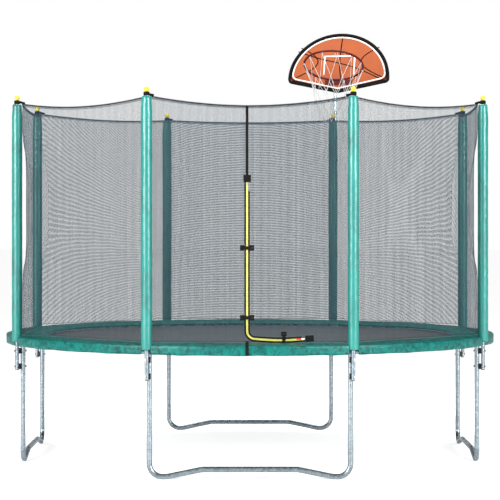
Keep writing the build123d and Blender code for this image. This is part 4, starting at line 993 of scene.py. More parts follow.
@dataclass
class Door:
    """The L-shaped zip and the fold line, drawn on the front panel as X to the right and Z up, in metres."""

    zip_x: float = 0.0
    zip_z: float = 0.0
    zip_top: float = 0.0
    zip_end: float = 0.0
    corner: float = 55 * MM
    clear: float = 7 * MM
    face: float = 0.0
    tape_half: float = 19 * MM
    sag: float = 9 * MM

    @classmethod
    def read(cls) -> "Door":
        """Place the door by the frame's fixed zip tape."""
        door = cls()
        tape_lo, tape_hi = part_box("zip_tape_fixed")
        door.zip_x = tape_lo.x + door.tape_half
        door.zip_z = tape_lo.z + door.tape_half
        door.zip_end = tape_hi.x - 8 * MM
        door.zip_top = tape_hi.z - 8 * MM
        door.face = -tape_lo.y
        return door

    @property
    def fold(self) -> tuple[Flat, Flat]:
        """The fold line's top and lower end."""
        return (self.zip_x, self.zip_top), (self.zip_end, self.zip_z - 3 * MM)

    @property
    def inward(self) -> Flat:
        """The unit direction from the fold line into the flap."""
        (ax, az), (bx, bz) = self.fold
        length = math.hypot(bx - ax, bz - az)
        return (bz - az) / length, -(bx - ax) / length

    def past_fold(self, x: float, z: float) -> float:
        """How far a place lies on the flap's side of the fold line."""
        (ax, az), _ = self.fold
        return (x - ax) * self.inward[0] + (z - az) * self.inward[1]

    def past_zip(self, x: float, z: float) -> float:
        """How far a place lies inside the zip's L line; it is negative outside."""
        along, up = x - self.zip_x, z - self.zip_z
        if along < self.corner and up < self.corner:
            return self.corner - math.hypot(self.corner - along, self.corner - up)
        return min(along, up)

    def zone(self, x: float, z: float) -> Zone:
        """The part of the front panel that a place belongs to."""
        inside, past = self.past_zip(x, z), self.past_fold(x, z)
        if past < 0 and (inside > 0 or z > self.zip_top):
            return Zone.PANEL
        if abs(inside) < self.clear and x < self.zip_end + 10 * MM and z < self.zip_top:
            return Zone.OPEN
        return Zone.FLAP if inside > 0 and past >= 0 else Zone.PANEL

    def line(self, offset: float = 0.0, step: float = 9 * MM) -> np.ndarray:
        """The zip's L line as (x, z) points from its top to its far end, moved into the flap by an offset."""
        bend = self.corner - offset
        start, turn_z = self.zip_top, self.zip_z + self.corner
        down = [(self.zip_x + offset, z) for z in np.linspace(start, turn_z, int((start - turn_z) / step))]
        arc = [(self.zip_x + self.corner - bend * math.cos(a), turn_z - bend * math.sin(a))
               for a in np.linspace(0, math.pi / 2, 12)[1:-1]]
        start_x = self.zip_x + self.corner
        across = [(x, self.zip_z + offset
                   - self.sag * math.sin(math.pi * (x - start_x) / (self.zip_end - start_x)))
                  for x in np.linspace(start_x, self.zip_end, int((self.zip_end - self.zip_x) / step))]
        return np.array(down + arc + across)

    def blend_ends(self, width: float = 60 * MM) -> tuple[Point, Point]:
        """Two points: the fold line's top, and a place a width from it into the flap."""
        (ax, az), _ = self.fold
        return (ax, -self.face, az), (ax + self.inward[0] * width, -self.face, az + self.inward[1] * width)


@dataclass
class EnclosureNet:
    """The net: knitted threads on a coarse pitch, a doubled hem, its cord, seam and corner loops.

    The columns are further apart and the yarn thinner on some panels, by side, so each stays see-through.
    """

    layout: Layout
    door: Door
    row_pitch: float = 3.7 * MM
    column_pitch: tuple[float, ...] = tuple(pitch * MM for pitch in (8.0, 11.0, 15.0, 11.0) * 2)
    row_yarn: float = 0.74 * MM
    column_yarn: float = 0.64 * MM
    yarn_share: tuple[float, ...] = (1.0, 0.86, 0.72, 0.86, 1.0, 0.86, 0.72, 0.86)
    inset: float = 1.5 * MM
    hem: float = 24 * MM
    hem_cord: float = 3 * MM
    seam_width: float = 19 * MM
    wing_length: float = 34 * MM
    wing_width: float = 20 * MM
    wing_drop: float = 7 * MM
    loop_width: float = 20 * MM
    loop_ring: float = 20.6 * MM
    neck_width: float = 18 * MM
    waist: float = 62 * MM
    waist_low: float = 1350 * MM
    waist_full: tuple[float, float] = (1700 * MM, 2030 * MM)
    waist_high: float = 2460 * MM
    flat_half: float = 430 * MM
    run: float = 95 * MM
    sags: tuple[float, ...] = tuple(sag * MM for sag in (68.0, 46.0, 30.0, 26.0, 20.0, 26.0, 30.0, 46.0))

    def top(self, side: int, s: np.ndarray) -> np.ndarray:
        """The height of a panel's hem at a distance from its middle."""
        return self.layout.net_high - self.sags[side] * (1 - (s / self.layout.half_width) ** 2)

    def drawn_in(self, side: int, s: np.ndarray, z: np.ndarray) -> np.ndarray:
        """How far the net is drawn in towards the axis near a pole by its own tension."""
        low, high = self.waist_full
        up = np.clip((z - self.waist_low) / (low - self.waist_low), 0, 1)
        down = np.clip((self.waist_high - z) / (self.waist_high - high), 0, 1)
        level = np.minimum(up * up * (3 - 2 * up), down * down * (3 - 2 * down))
        near = np.clip((np.abs(s) - self.flat_half) / (self.layout.half_width - self.flat_half), 0, 1)
        front = 0.35 if side == 0 else 1.0
        front = np.where((side == 1) & (s < 0) | (side == 7) & (s > 0), 0.35, front)
        return self.waist * front * level * near ** 1.6

    def place(self, side: int, s: np.ndarray, z: np.ndarray, out: float = 0.0) -> np.ndarray:
        """Put places on a panel into the frame.

        Args:
            side: the panel, 0 at the front and then anticlockwise from above.
            s: distance along the panel from its middle.
            z: height.
            out: distance outwards from the threads' middle.

        Returns:
            Points in the frame.
        """
        pull = self.drawn_in(side, s, z)
        billow = 3.0 * MM * wave(s * 6 + side, z * 4 - side) * np.clip((z - self.layout.net_low) * 5, 0, 1) \
            * np.clip((self.layout.net_high - z) * 8, 0, 1) * (0 if side == 0 else 1)
        ripple = 0.9 * MM * wave(s * 34 + 2 * side, z * 11 + s * 9) \
            * np.clip((self.layout.net_high - z) * 20, 0, 1)
        half_turn = math.pi / self.layout.sides
        x = s - np.sign(s) * pull * math.sin(half_turn)
        y = -(self.layout.net_face - self.inset + out) + pull * math.cos(half_turn) \
            + np.maximum(billow, -1 * MM)
        return turn_points(np.stack([x, y, z + ripple], axis=-1), side * self.layout.step)

    def threads(self, name: str, lines: Iterable[tuple[np.ndarray, float]], side: int) -> bpy.types.Object:
        """Turn thread lines into three-sided yarn.

        Args:
            name: the piece's name.
            lines: the points and the yarn's radius for each thread.
            side: the panel they lie on, which says the way out.

        Returns:
            The net as one piece.
        """
        outward = turn_points(np.array([[0.0, -1.0, 0.0]]), side * self.layout.step)[0]
        angles = np.radians([90, 210, 330])
        points, faces, start = [], [], 0
        corner = np.arange(3)
        for line, yarn in lines:
            along = tangents(line)
            across = np.cross(along, outward)
            across /= np.linalg.norm(across, axis=1, keepdims=True)
            rings = line[:, None] + yarn * (across[:, None] * np.cos(angles)[None, :, None]
                                                 + outward * np.sin(angles)[None, :, None])
            points.append(rings.reshape(-1, 3))
            base = start + 3 * np.arange(len(line) - 1)[:, None]
            here, after = base + corner, base + (corner + 1) % 3
            faces.append(np.stack([here, here + 3, after + 3, after], axis=2).reshape(-1, 4))
            start += 3 * len(line)
        points, faces = np.concatenate(points), np.concatenate(faces)
        mesh = bpy.data.meshes.new(name)
        mesh.vertices.add(len(points))
        mesh.vertices.foreach_set("co", points.astype(np.float32).ravel())
        mesh.loops.add(faces.size)
        mesh.loops.foreach_set("vertex_index", faces.astype(np.int32).ravel())
        mesh.polygons.add(len(faces))
        mesh.polygons.foreach_set("loop_start", np.arange(0, faces.size, 4, dtype=np.int32))
        mesh.polygons.foreach_set("use_smooth", [True] * len(faces))
        mesh.update(calc_edges=True)
        mesh.validate()
        piece = bpy.data.objects.new(name, mesh)
        bpy.context.collection.objects.link(piece)
        return NET_YARN.dress(piece)

    def cut(self, flat: Callable[[float], Flat], start: float, stop: float) -> list[tuple[Zone, float, float]]:
        """Cut one thread of the front panel where it meets the zip or the fold.

        Args:
            flat: gives the (x, z) place at a parameter.
            start: the first parameter.
            stop: the last one.

        Returns:
            (zone, from, to) for each run that carries thread.
        """
        marks = list(np.arange(start, stop, 8 * MM)) + [stop]
        runs, zone, began = [], self.door.zone(*flat(start)), start
        for before, after in zip(marks, marks[1:]):
            found = self.door.zone(*flat(after))
            if found is not zone:
                low, high = before, after
                for _ in range(12):
                    middle = (low + high) / 2
                    low, high = (middle, high) if self.door.zone(*flat(middle)) is zone else (low, middle)
                runs.append((zone, began, low))
                zone, began = found, high
        runs.append((zone, began, stop))
        return [run for run in runs if run[0] is not Zone.OPEN and run[2] - run[1] > 1 * MM]

    def lines(self, side: int) -> dict[Zone, list[tuple[np.ndarray, float]]]:
        """Every thread of a panel, by the part of the panel it belongs to."""
        layout, half = self.layout, self.layout.half_width
        low, found = layout.net_low + 1 * MM, {Zone.PANEL: [], Zone.FLAP: []}
        rows = int((layout.net_high - low) / self.row_pitch)
        columns = int(2 * half / self.column_pitch[side])
        share = self.yarn_share[side]
        row_yarn, column_yarn = self.row_yarn * share, self.column_yarn * share

        def height(share: float, s: np.ndarray) -> np.ndarray:
            """The height of a row at its share of the way up."""
            return low + share * (self.top(side, np.asarray(s, float)) - low)

        def keep(flat: Callable, start: float, stop: float, yarn: float) -> None:
            """Keep one thread's runs, each with the part of the panel it belongs to."""
            runs = self.cut(flat, start, stop) if side == 0 else [(Zone.PANEL, start, stop)]
            for zone, first, last in runs:
                steps = max(3, int((last - first) / self.run) + 2)
                x, z = flat(np.linspace(first, last, steps))
                thread = self.place(side, np.asarray(x, float) + 0 * z, np.asarray(z, float))
                found[zone].append((thread, yarn))

        shares = [row / rows for row in range(rows + 1)]
        band = self.hem / (layout.net_high - low)
        shares += [share + 0.5 / rows for share in shares if 1 - band < share < 1 or share < band / 4]
        for share in shares:
            keep(lambda s, share=share: (s, height(share, s)), -half, half, row_yarn)
        for column in range(columns + 1):
            uneven = 0.3 * math.sin(7.1 * column + side) * (0 < column < columns)
            s = -half + 2 * half * (column + uneven) / columns
            keep(lambda z, s=s: (s + 0 * z, z), low, float(self.top(side, s)), column_yarn)
            if column < columns:
                mid, hem_top = s + half / columns, float(self.top(side, s + half / columns))
                band_line = self.place(side, np.full(3, mid), np.linspace(hem_top - self.hem, hem_top, 3))
                found[Zone.PANEL].append((band_line, column_yarn))
        return found

    def panels(self) -> list[bpy.types.Object]:
        """The eight panels and the door's flap, each a sheet."""
        made = []
        width, tall = 2 * self.layout.half_width, self.layout.net_high - self.layout.net_low
        for side in range(self.layout.sides):
            found = self.lines(side)
            panel = self.threads(f"net_panel_{side + 1}", found[Zone.PANEL], side)
            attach(panel, "frame")
            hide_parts("net_panels" if side else "net_door_panel")
            area = width * (tall - self.sags[side] * 2 / 3)
            if side == 0:
                flap = self.threads("net_door_flap", found[Zone.FLAP], side)
                self.door.blend_ends()
                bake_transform(flap)
                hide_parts("door_flap")
                wide, high = self.door.zip_end - self.door.zip_x, self.door.zip_top - self.door.zip_z
                area -= wide * high / 2
                made.append(flap)
            made.append(panel)
        LOG.info("made %d net pieces", len(made))
        return made

    def hem_cords(self) -> bpy.types.Object:
        """The black cord along each hem."""
        parts = []
        reach = self.layout.half_width - 40 * MM
        for side in range(self.layout.sides):
            s = np.linspace(-reach, reach, 41)
            path = self.place(side, s, self.top(side, s) - 6 * MM, out=self.inset + 2.0 * MM)
            parts.append(tube("cord", path, self.hem_cord * 1.35, 8))
        cords = BLACK_CORD.dress(join("net_hem_cord", parts))
        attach(cords, "frame")
        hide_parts("net_top_cord")
        return cords

    def seam(self) -> bpy.types.Object:
        """The bound seam from the zip's top patch to the hem."""
        low, high = self.door.zip_top + 12 * MM, float(self.top(0, self.door.zip_x)) - 4 * MM
        z = np.linspace(low, high, 24)
        x = self.door.zip_x + 0.8 * MM * wave(z * 18)
        path = np.stack([x, np.full(24, -(self.layout.net_face + 0.6 * MM)), z], axis=1)
        seam = BLACK_WEBBING.dress(strap("net_seam_binding", path, (0, -1, 0), self.seam_width,
                                         WEBBING_THICKNESS))
        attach(seam, "frame")
        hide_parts("net_seam")
        return seam

    def corner_loops(self) -> bpy.types.Object:
        """The strap loops that tie the net's corners to the pole caps, with wings sewn along both hems."""
        layout, parts = self.layout, []
        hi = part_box("net_corner_loops")[1]
        middle, ring = hi.z - 11.5 * MM, self.loop_ring
        corner = layout.corner_radius + 1.4 * MM
        for angle in layout.corners:
            for way in (-1, 1):
                turn = math.radians(layout.step / 2)
                share = np.linspace(0, 1, 7)[:, None]
                end = np.array([-math.sin(turn), way * math.cos(turn), 0]) * self.wing_length
                drop = share ** 2 * np.array([0, 0, self.wing_drop])
                wing = np.array([corner, 0, middle - 5 * MM]) + share * end - drop
                face = (math.cos(turn), way * math.sin(turn), 0)
                parts.append(strap("wing", turn_points(wing, angle), turn_points(np.array([face]), angle)[0],
                                   self.wing_width, WEBBING_THICKNESS))
            around = np.linspace(math.pi, -math.pi, 33)
            hoop = np.stack([layout.pole_circle + ring * np.cos(around), ring * np.sin(around),
                             np.full(33, middle)], axis=1)
            outward = np.stack([np.cos(around), np.sin(around), np.zeros(33)], axis=1)
            parts.append(strap("hoop", turn_points(hoop, angle), turn_points(outward, angle),
                               self.loop_width, 2 * MM))
            neck = np.array([[corner + x * MM, 0, middle] for x in (0, 8, 16)])
            parts.append(strap("neck", turn_points(neck, angle), turn_points(np.array([[0, 1.0, 0]]), angle)[0],
                               self.neck_width, 3.4 * MM))
        loops = BLACK_WEBBING.dress(join("net_corner_straps", parts))
        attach(loops, "frame")
        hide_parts("net_corner_loops")
        return loops


# Door furniture ------------------------------------------------------------------------------------------


@dataclass
class LatchPlace:
    """One press-stud latch: its node, its body, its middle on the zip and the way its tongue points."""

    node: str
    body: str
    middle: Flat
    across: Flat
    root: float

    def at(self, door: Door, along: float, over: float, out: float) -> Vector:
        """A place beside the latch.

        Args:
            door: the door it is on.
            along: distance along the zip.
            over: distance across it, towards the stud.
            out: distance outwards from the tape.

        Returns:
            The point in the frame.
        """
        x = self.middle[0] + over * self.across[0] - along * self.across[1]
        z = self.middle[1] + over * self.across[1] + along * self.across[0]
        return Vector((x, -(door.face + out), z))


@dataclass
class DoorFurniture:
    """The zip's tapes, teeth and end patches, the latches, the ribbon pull and the tail strap."""

    layout: Layout
    door: Door
    tooth_pitch: float = 4.2 * MM
    tooth: Point = (7.4 * MM, 1.9 * MM, 2.6 * MM)
    tape: float = 1.5 * MM
    patch: float = 29 * MM
    patch_width: float = 37 * MM
    strap_width: float = 23 * MM
    latch_rise: float = 7 * MM
    base_tilts: tuple[float, ...] = (3.0, -2.0, 2.0)
    stud_near: float = 20 * MM
    sill_base: float = 14 * MM
    base_thickness: float = 1.8 * MM
    patch_thickness: float = 1.6 * MM
    end_thickness: float = 2.2 * MM
    strap_thickness: float = 1.7 * MM
    stud_radius: float = 4.2 * MM
    stud_height: float = 4.6 * MM
    cap_radius: float = 6.5 * MM
    cap_height: float = 2.2 * MM
    tail_width: float = 22 * MM

    def latches(self) -> list[LatchPlace]:
        """The three latches, two on the upright and one on the sill."""
        places = []
        for index in (1, 2, 3):
            lo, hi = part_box(f"latch_tongue_{index}")
            upright = index < 3
            middle = (self.door.zip_x, (lo.z + hi.z) / 2) if upright else ((lo.x + hi.x) / 2, self.door.zip_z)
            places.append(LatchPlace(f"latch_tongue_{index}", f"latch_{index}", middle,
                                     (1.0, 0.0) if upright else (0.0, 1.0), 20 * MM if upright else 10 * MM))
        return places

    def tapes(self) -> list[bpy.types.Object]:
        """Both woven tapes, each with its row of teeth."""
        made, face = [], self.layout.net_face
        slider_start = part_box("zip_slider")[0].x
        for side, node in ((-1, "zip_tape_fixed"), (1, "zip_tape_flap")):
            line = self.door.line(offset=side * 11 * MM)
            if side > 0:
                line = np.array([point for point in line if self.door.past_fold(*point) > 10 * MM
                                 and point[0] < slider_start - 3 * MM])
            path = np.stack([line[:, 0], np.full(len(line), -(face + 1.2 * MM)), line[:, 1]], axis=1)
            tape = ZIP_TAPE.dress(strap(f"{node}_cloth", path, (0, -1, 0), 16 * MM, self.tape))
            line = self.door.line(offset=side * 3.4 * MM, step=self.tooth_pitch)
            if side > 0:
                line = np.array([point for point in line if self.door.past_fold(*point) > 5 * MM])
            teeth = ZIP_TEETH.dress(self.teeth(f"{node}_teeth", line, face + 2.6 * MM, side))
            for piece in (tape, teeth):
                if side > 0:
                    self.door.blend_ends()
                    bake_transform(piece)
                else:
                    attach(piece, "frame")
            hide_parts(node)
            made += [tape, teeth]
        return made

    def teeth(self, name: str, line: np.ndarray, out: float, side: int) -> bpy.types.Object:
        """A row of moulded teeth along a line, each a bevelled block on the last one's shape."""
        deselect()
        bpy.ops.mesh.primitive_cube_add(size=1)
        seed = named("tooth")
        seed.scale = self.tooth
        settle(seed)
        modifier(seed, "BEVEL", width=0.5 * MM, segments=1, limit_method="NONE")
        distance, parts = lengths(np.insert(line, 1, 0, axis=1)), []
        count = int(distance[-1] / self.tooth_pitch)
        shift = 0.0 if side > 0 else 0.5
        for index in range(count):
            at = (index + shift) * self.tooth_pitch
            x, z = np.interp(at, distance, line[:, 0]), np.interp(at, distance, line[:, 1])
            dx = np.interp(at + MM, distance, line[:, 0]) - np.interp(at - MM, distance, line[:, 0])
            dz = np.interp(at + MM, distance, line[:, 1]) - np.interp(at - MM, distance, line[:, 1])
            turn = Matrix.Rotation(-math.atan2(dz, dx) + math.pi / 2, 4, "Y")
            parts.append(copy_of(seed, "tooth", Matrix.Translation((x, -out, z)) @ turn))
        bpy.data.objects.remove(seed)
        return join(name, parts)

    def cloth_patch(self, name: str, middle: Vector, size: Flat, thickness: float,
                    tilt: float = 0.0) -> bpy.types.Object:
        """A sewn webbing patch facing the front: a block inset and puffed inside its stitch line.

        Args:
            name: the piece's name.
            middle: the middle of its back face.
            size: its width and height.
            thickness: its thickness.
            tilt: its turn in degrees as seen from the front.

        Returns:
            The patch.
        """
        deselect()
        bpy.ops.mesh.primitive_cube_add(size=1)
        patch = named(name)
        patch.scale = (size[0], thickness, size[1])
        settle(patch)
        bpy.ops.object.mode_set(mode="EDIT")
        shape = bmesh.from_edit_mesh(patch.data)
        for face in shape.faces:
            face.select = face.normal.y < -0.9
        bmesh.update_edit_mesh(patch.data)
        for inset, depth in ((1.6 * MM, -0.35 * MM), (1.0 * MM, 0.0),
                             (1.2 * MM, 0.5 * MM), (2.0 * MM, 0.25 * MM)):
            bpy.ops.mesh.inset(thickness=inset, depth=depth)
        bpy.ops.object.mode_set(mode="OBJECT")
        uv = patch.data.uv_layers.active or patch.data.uv_layers.new(name="cloth")
        for loop in patch.data.loops:
            co = patch.data.vertices[loop.vertex_index].co
            uv.data[loop.index].uv = (co.z, co.x)
        uv.name = "cloth"
        patch.data.transform(Matrix.Translation(middle - Vector((0, thickness / 2, 0)))
                             @ Matrix.Rotation(math.radians(tilt), 4, "Y"))
        return patch

    def end_patches(self) -> bpy.types.Object:
        """The sewn patches over the zip's top and far end."""
        out = -(self.layout.net_face + 2.4 * MM)
        top = self.cloth_patch("top", Vector((self.door.zip_x + 1 * MM, out, self.door.zip_top + 22 * MM)),
                               (52 * MM, 50 * MM), 2.4 * MM, 1.5)
        end = self.cloth_patch("end", Vector((self.door.zip_end + 30 * MM, out, self.door.zip_z + 2 * MM)),
                               (58 * MM, 44 * MM), 2.4 * MM, -4)
        patches = BLACK_WEBBING.dress(join("zip_end_patches", [top, end]))
        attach(patches, "frame")
        return patches

    def stud(self, name: str, place: LatchPlace, over: float, out: float, radius: float,
             height: float) -> bpy.types.Object:
        """A press stud's turned cap: a cylinder with its rim bevelled and its crown dished."""
        deselect()
        bpy.ops.mesh.primitive_cylinder_add(vertices=28, radius=radius, depth=height,
                                            rotation=(math.pi / 2, 0, 0))
        cap = named(name)
        settle(cap)
        bpy.ops.object.mode_set(mode="EDIT")
        shape = bmesh.from_edit_mesh(cap.data)
        for face in shape.faces:
            face.select = face.normal.y < -0.9
        bmesh.update_edit_mesh(cap.data)
        bpy.ops.mesh.bevel(offset=height * 0.4, segments=3, affect="EDGES")
        bpy.ops.mesh.inset(thickness=radius * 0.3, depth=-height * 0.18)
        bpy.ops.object.mode_set(mode="OBJECT")
        cap.data.transform(Matrix.Translation(place.at(self.door, 0, over, out + height / 2)))
        return smooth(facing_out(cap), 35)

    def latch(self, index: int, place: LatchPlace) -> list[bpy.types.Object]:
        """One latch: its sewn base, its stud patch on the flap, and the strap that folds over the zip."""
        upright, near, rise = index < 3, self.stud_near, self.latch_rise
        size = (self.patch, self.patch_width) if upright else (self.patch_width, self.patch)
        base_size = size if upright else (self.patch_width, self.sill_base)
        tilt, front, stud_over = self.base_tilts[index - 1], (0, -1, 0), near + self.patch / 2
        base_mid = place.at(self.door, 0, -stud_over if upright else -16 * MM, -2.6 * MM + 1.5 * MM)
        base = self.cloth_patch(f"latch_base_{index}", base_mid, base_size, self.base_thickness, tilt)
        climb = ((9 * MM, 1.6 * MM), (6 * MM, 2.2 * MM), (3.5 * MM, 4.5 * MM), (1.5 * MM, rise - 0.8 * MM))
        root = [place.at(self.door, 0, -place.root - d, o) for d, o in climb]
        root = strap("root", root, front, self.strap_width, 2 * MM)
        base = BLACK_WEBBING.dress(join(f"latch_base_{index}", [base, root]))
        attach(base, "frame")
        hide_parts("latch_bases")
        stud_mid = place.at(self.door, 0, stud_over, -1.1 * MM)
        patch = self.cloth_patch(f"latch_stud_patch_{index}", stud_mid, size, self.patch_thickness)
        BLACK_WEBBING.dress(patch)
        post = BOLT_ZINC.dress(self.stud(f"latch_stud_{index}", place, stud_over, 0.6 * MM,
                                         self.stud_radius, self.stud_height))
        for piece in (patch, post):
            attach(piece, "door")
            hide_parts("latch_studs")
        steps = [(-place.root + 0.3 * MM, rise - 0.2 * MM), (-place.root + 5 * MM, rise + 0.5 * MM),
                 (0.0, rise + 1.0 * MM), (near - 4 * MM, rise + 0.6 * MM), (near + 4 * MM, rise)]
        tongue = strap("strap", [place.at(self.door, 0, d, o) for d, o in steps], front, self.strap_width,
                       self.strap_thickness)
        end_mid = place.at(self.door, 0, stud_over, rise - 0.8 * MM)
        end = self.cloth_patch("end", end_mid, size, self.end_thickness, -tilt)
        tongue = BLACK_WEBBING.dress(join(f"latch_strap_{index}", [tongue, end]))
        cap = BLACK_PLASTIC.dress(self.stud(f"latch_cap_{index}", place, stud_over, rise + 1.4 * MM,
                                            self.cap_radius, self.cap_height))
        for piece in (tongue, cap):
            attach(piece, place.body)
            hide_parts(place.node)
        LOG.info("made latch %d", index)
        return [base, patch, post, tongue, cap]

    def pull(self) -> list[bpy.types.Object]:
        """The ribbon pull: a folded white ribbon with a red bound end, looped through the slider's eye."""
        lo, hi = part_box("zip_pull")
        z, y = (lo.z + hi.z) / 2, (lo.y + hi.y) / 2
        width = hi.z - lo.z - 3 * MM
        root = [(hi.x, y, z), (hi.x - 3 * MM, y - 0.2 * MM, z), (hi.x - 14 * MM, y, z - 0.5 * MM),
                (hi.x - 26 * MM, y, z)]
        ribbon = PULL_WHITE.dress(strap("pull_ribbon_white", soft_path(root, 6), (0, -1, 0),
                                        width * 0.72, 1.3 * MM))
        tail = [(hi.x - 23 * MM, y - 0.6 * MM, z), (hi.x - 38 * MM, y - 0.4 * MM, z + 1 * MM),
                (lo.x, y, z - 0.5 * MM)]
        bound = PULL_CLOTH.dress(strap("pull_ribbon_red", soft_path(tail, 6), (0, -1, 0),
                                       width * 0.85, 1.3 * MM))
        for piece in (ribbon, bound):
            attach(piece, "pull")
            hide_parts("zip_pull")
        return [ribbon, bound]

    def tail_strap(self) -> bpy.types.Object:
        """The strap that runs from the zip's corner over the pad and down its skirt."""
        lo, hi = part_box("net_tail_strap")
        face, outer, x = self.layout.net_face, -lo.y, (lo.x + hi.x) / 2
        mid = (PAD_INNER + self.layout.pad_outer) / 2
        high = self.layout.pad_high
        places = ((face + 3.6 * MM, self.door.zip_z - 22 * MM), (face + 3.8 * MM, high + 8 * MM),
                  (face + 9 * MM, high + 1.5 * MM), (mid + 45 * MM, high + 0.5 * MM),
                  (outer - 75 * MM, high - 5.5 * MM), (outer - 25 * MM, high - 12 * MM),
                  (outer - 1.6 * MM, high - 19 * MM),
                  (outer - 1.2 * MM, high - 30 * MM), (outer - 1.6 * MM, lo.z + 1 * MM))
        points = [(x, -out, z) for out, z in places]
        path = soft_path(points, 8)
        along = tangents(path)
        up = np.cross(along, np.array([1.0, 0, 0]))
        up *= np.sign((up * np.array([0, -1.0, 1.0])).sum(axis=1, keepdims=True))
        piece = BLACK_WEBBING.dress(strap("net_tail_strap_web", path, up, self.tail_width, WEBBING_THICKNESS))
        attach(piece, "frame")
        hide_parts("net_tail_strap")
        return piece


# Basketball hoop -----------------------------------------------------------------------------------------


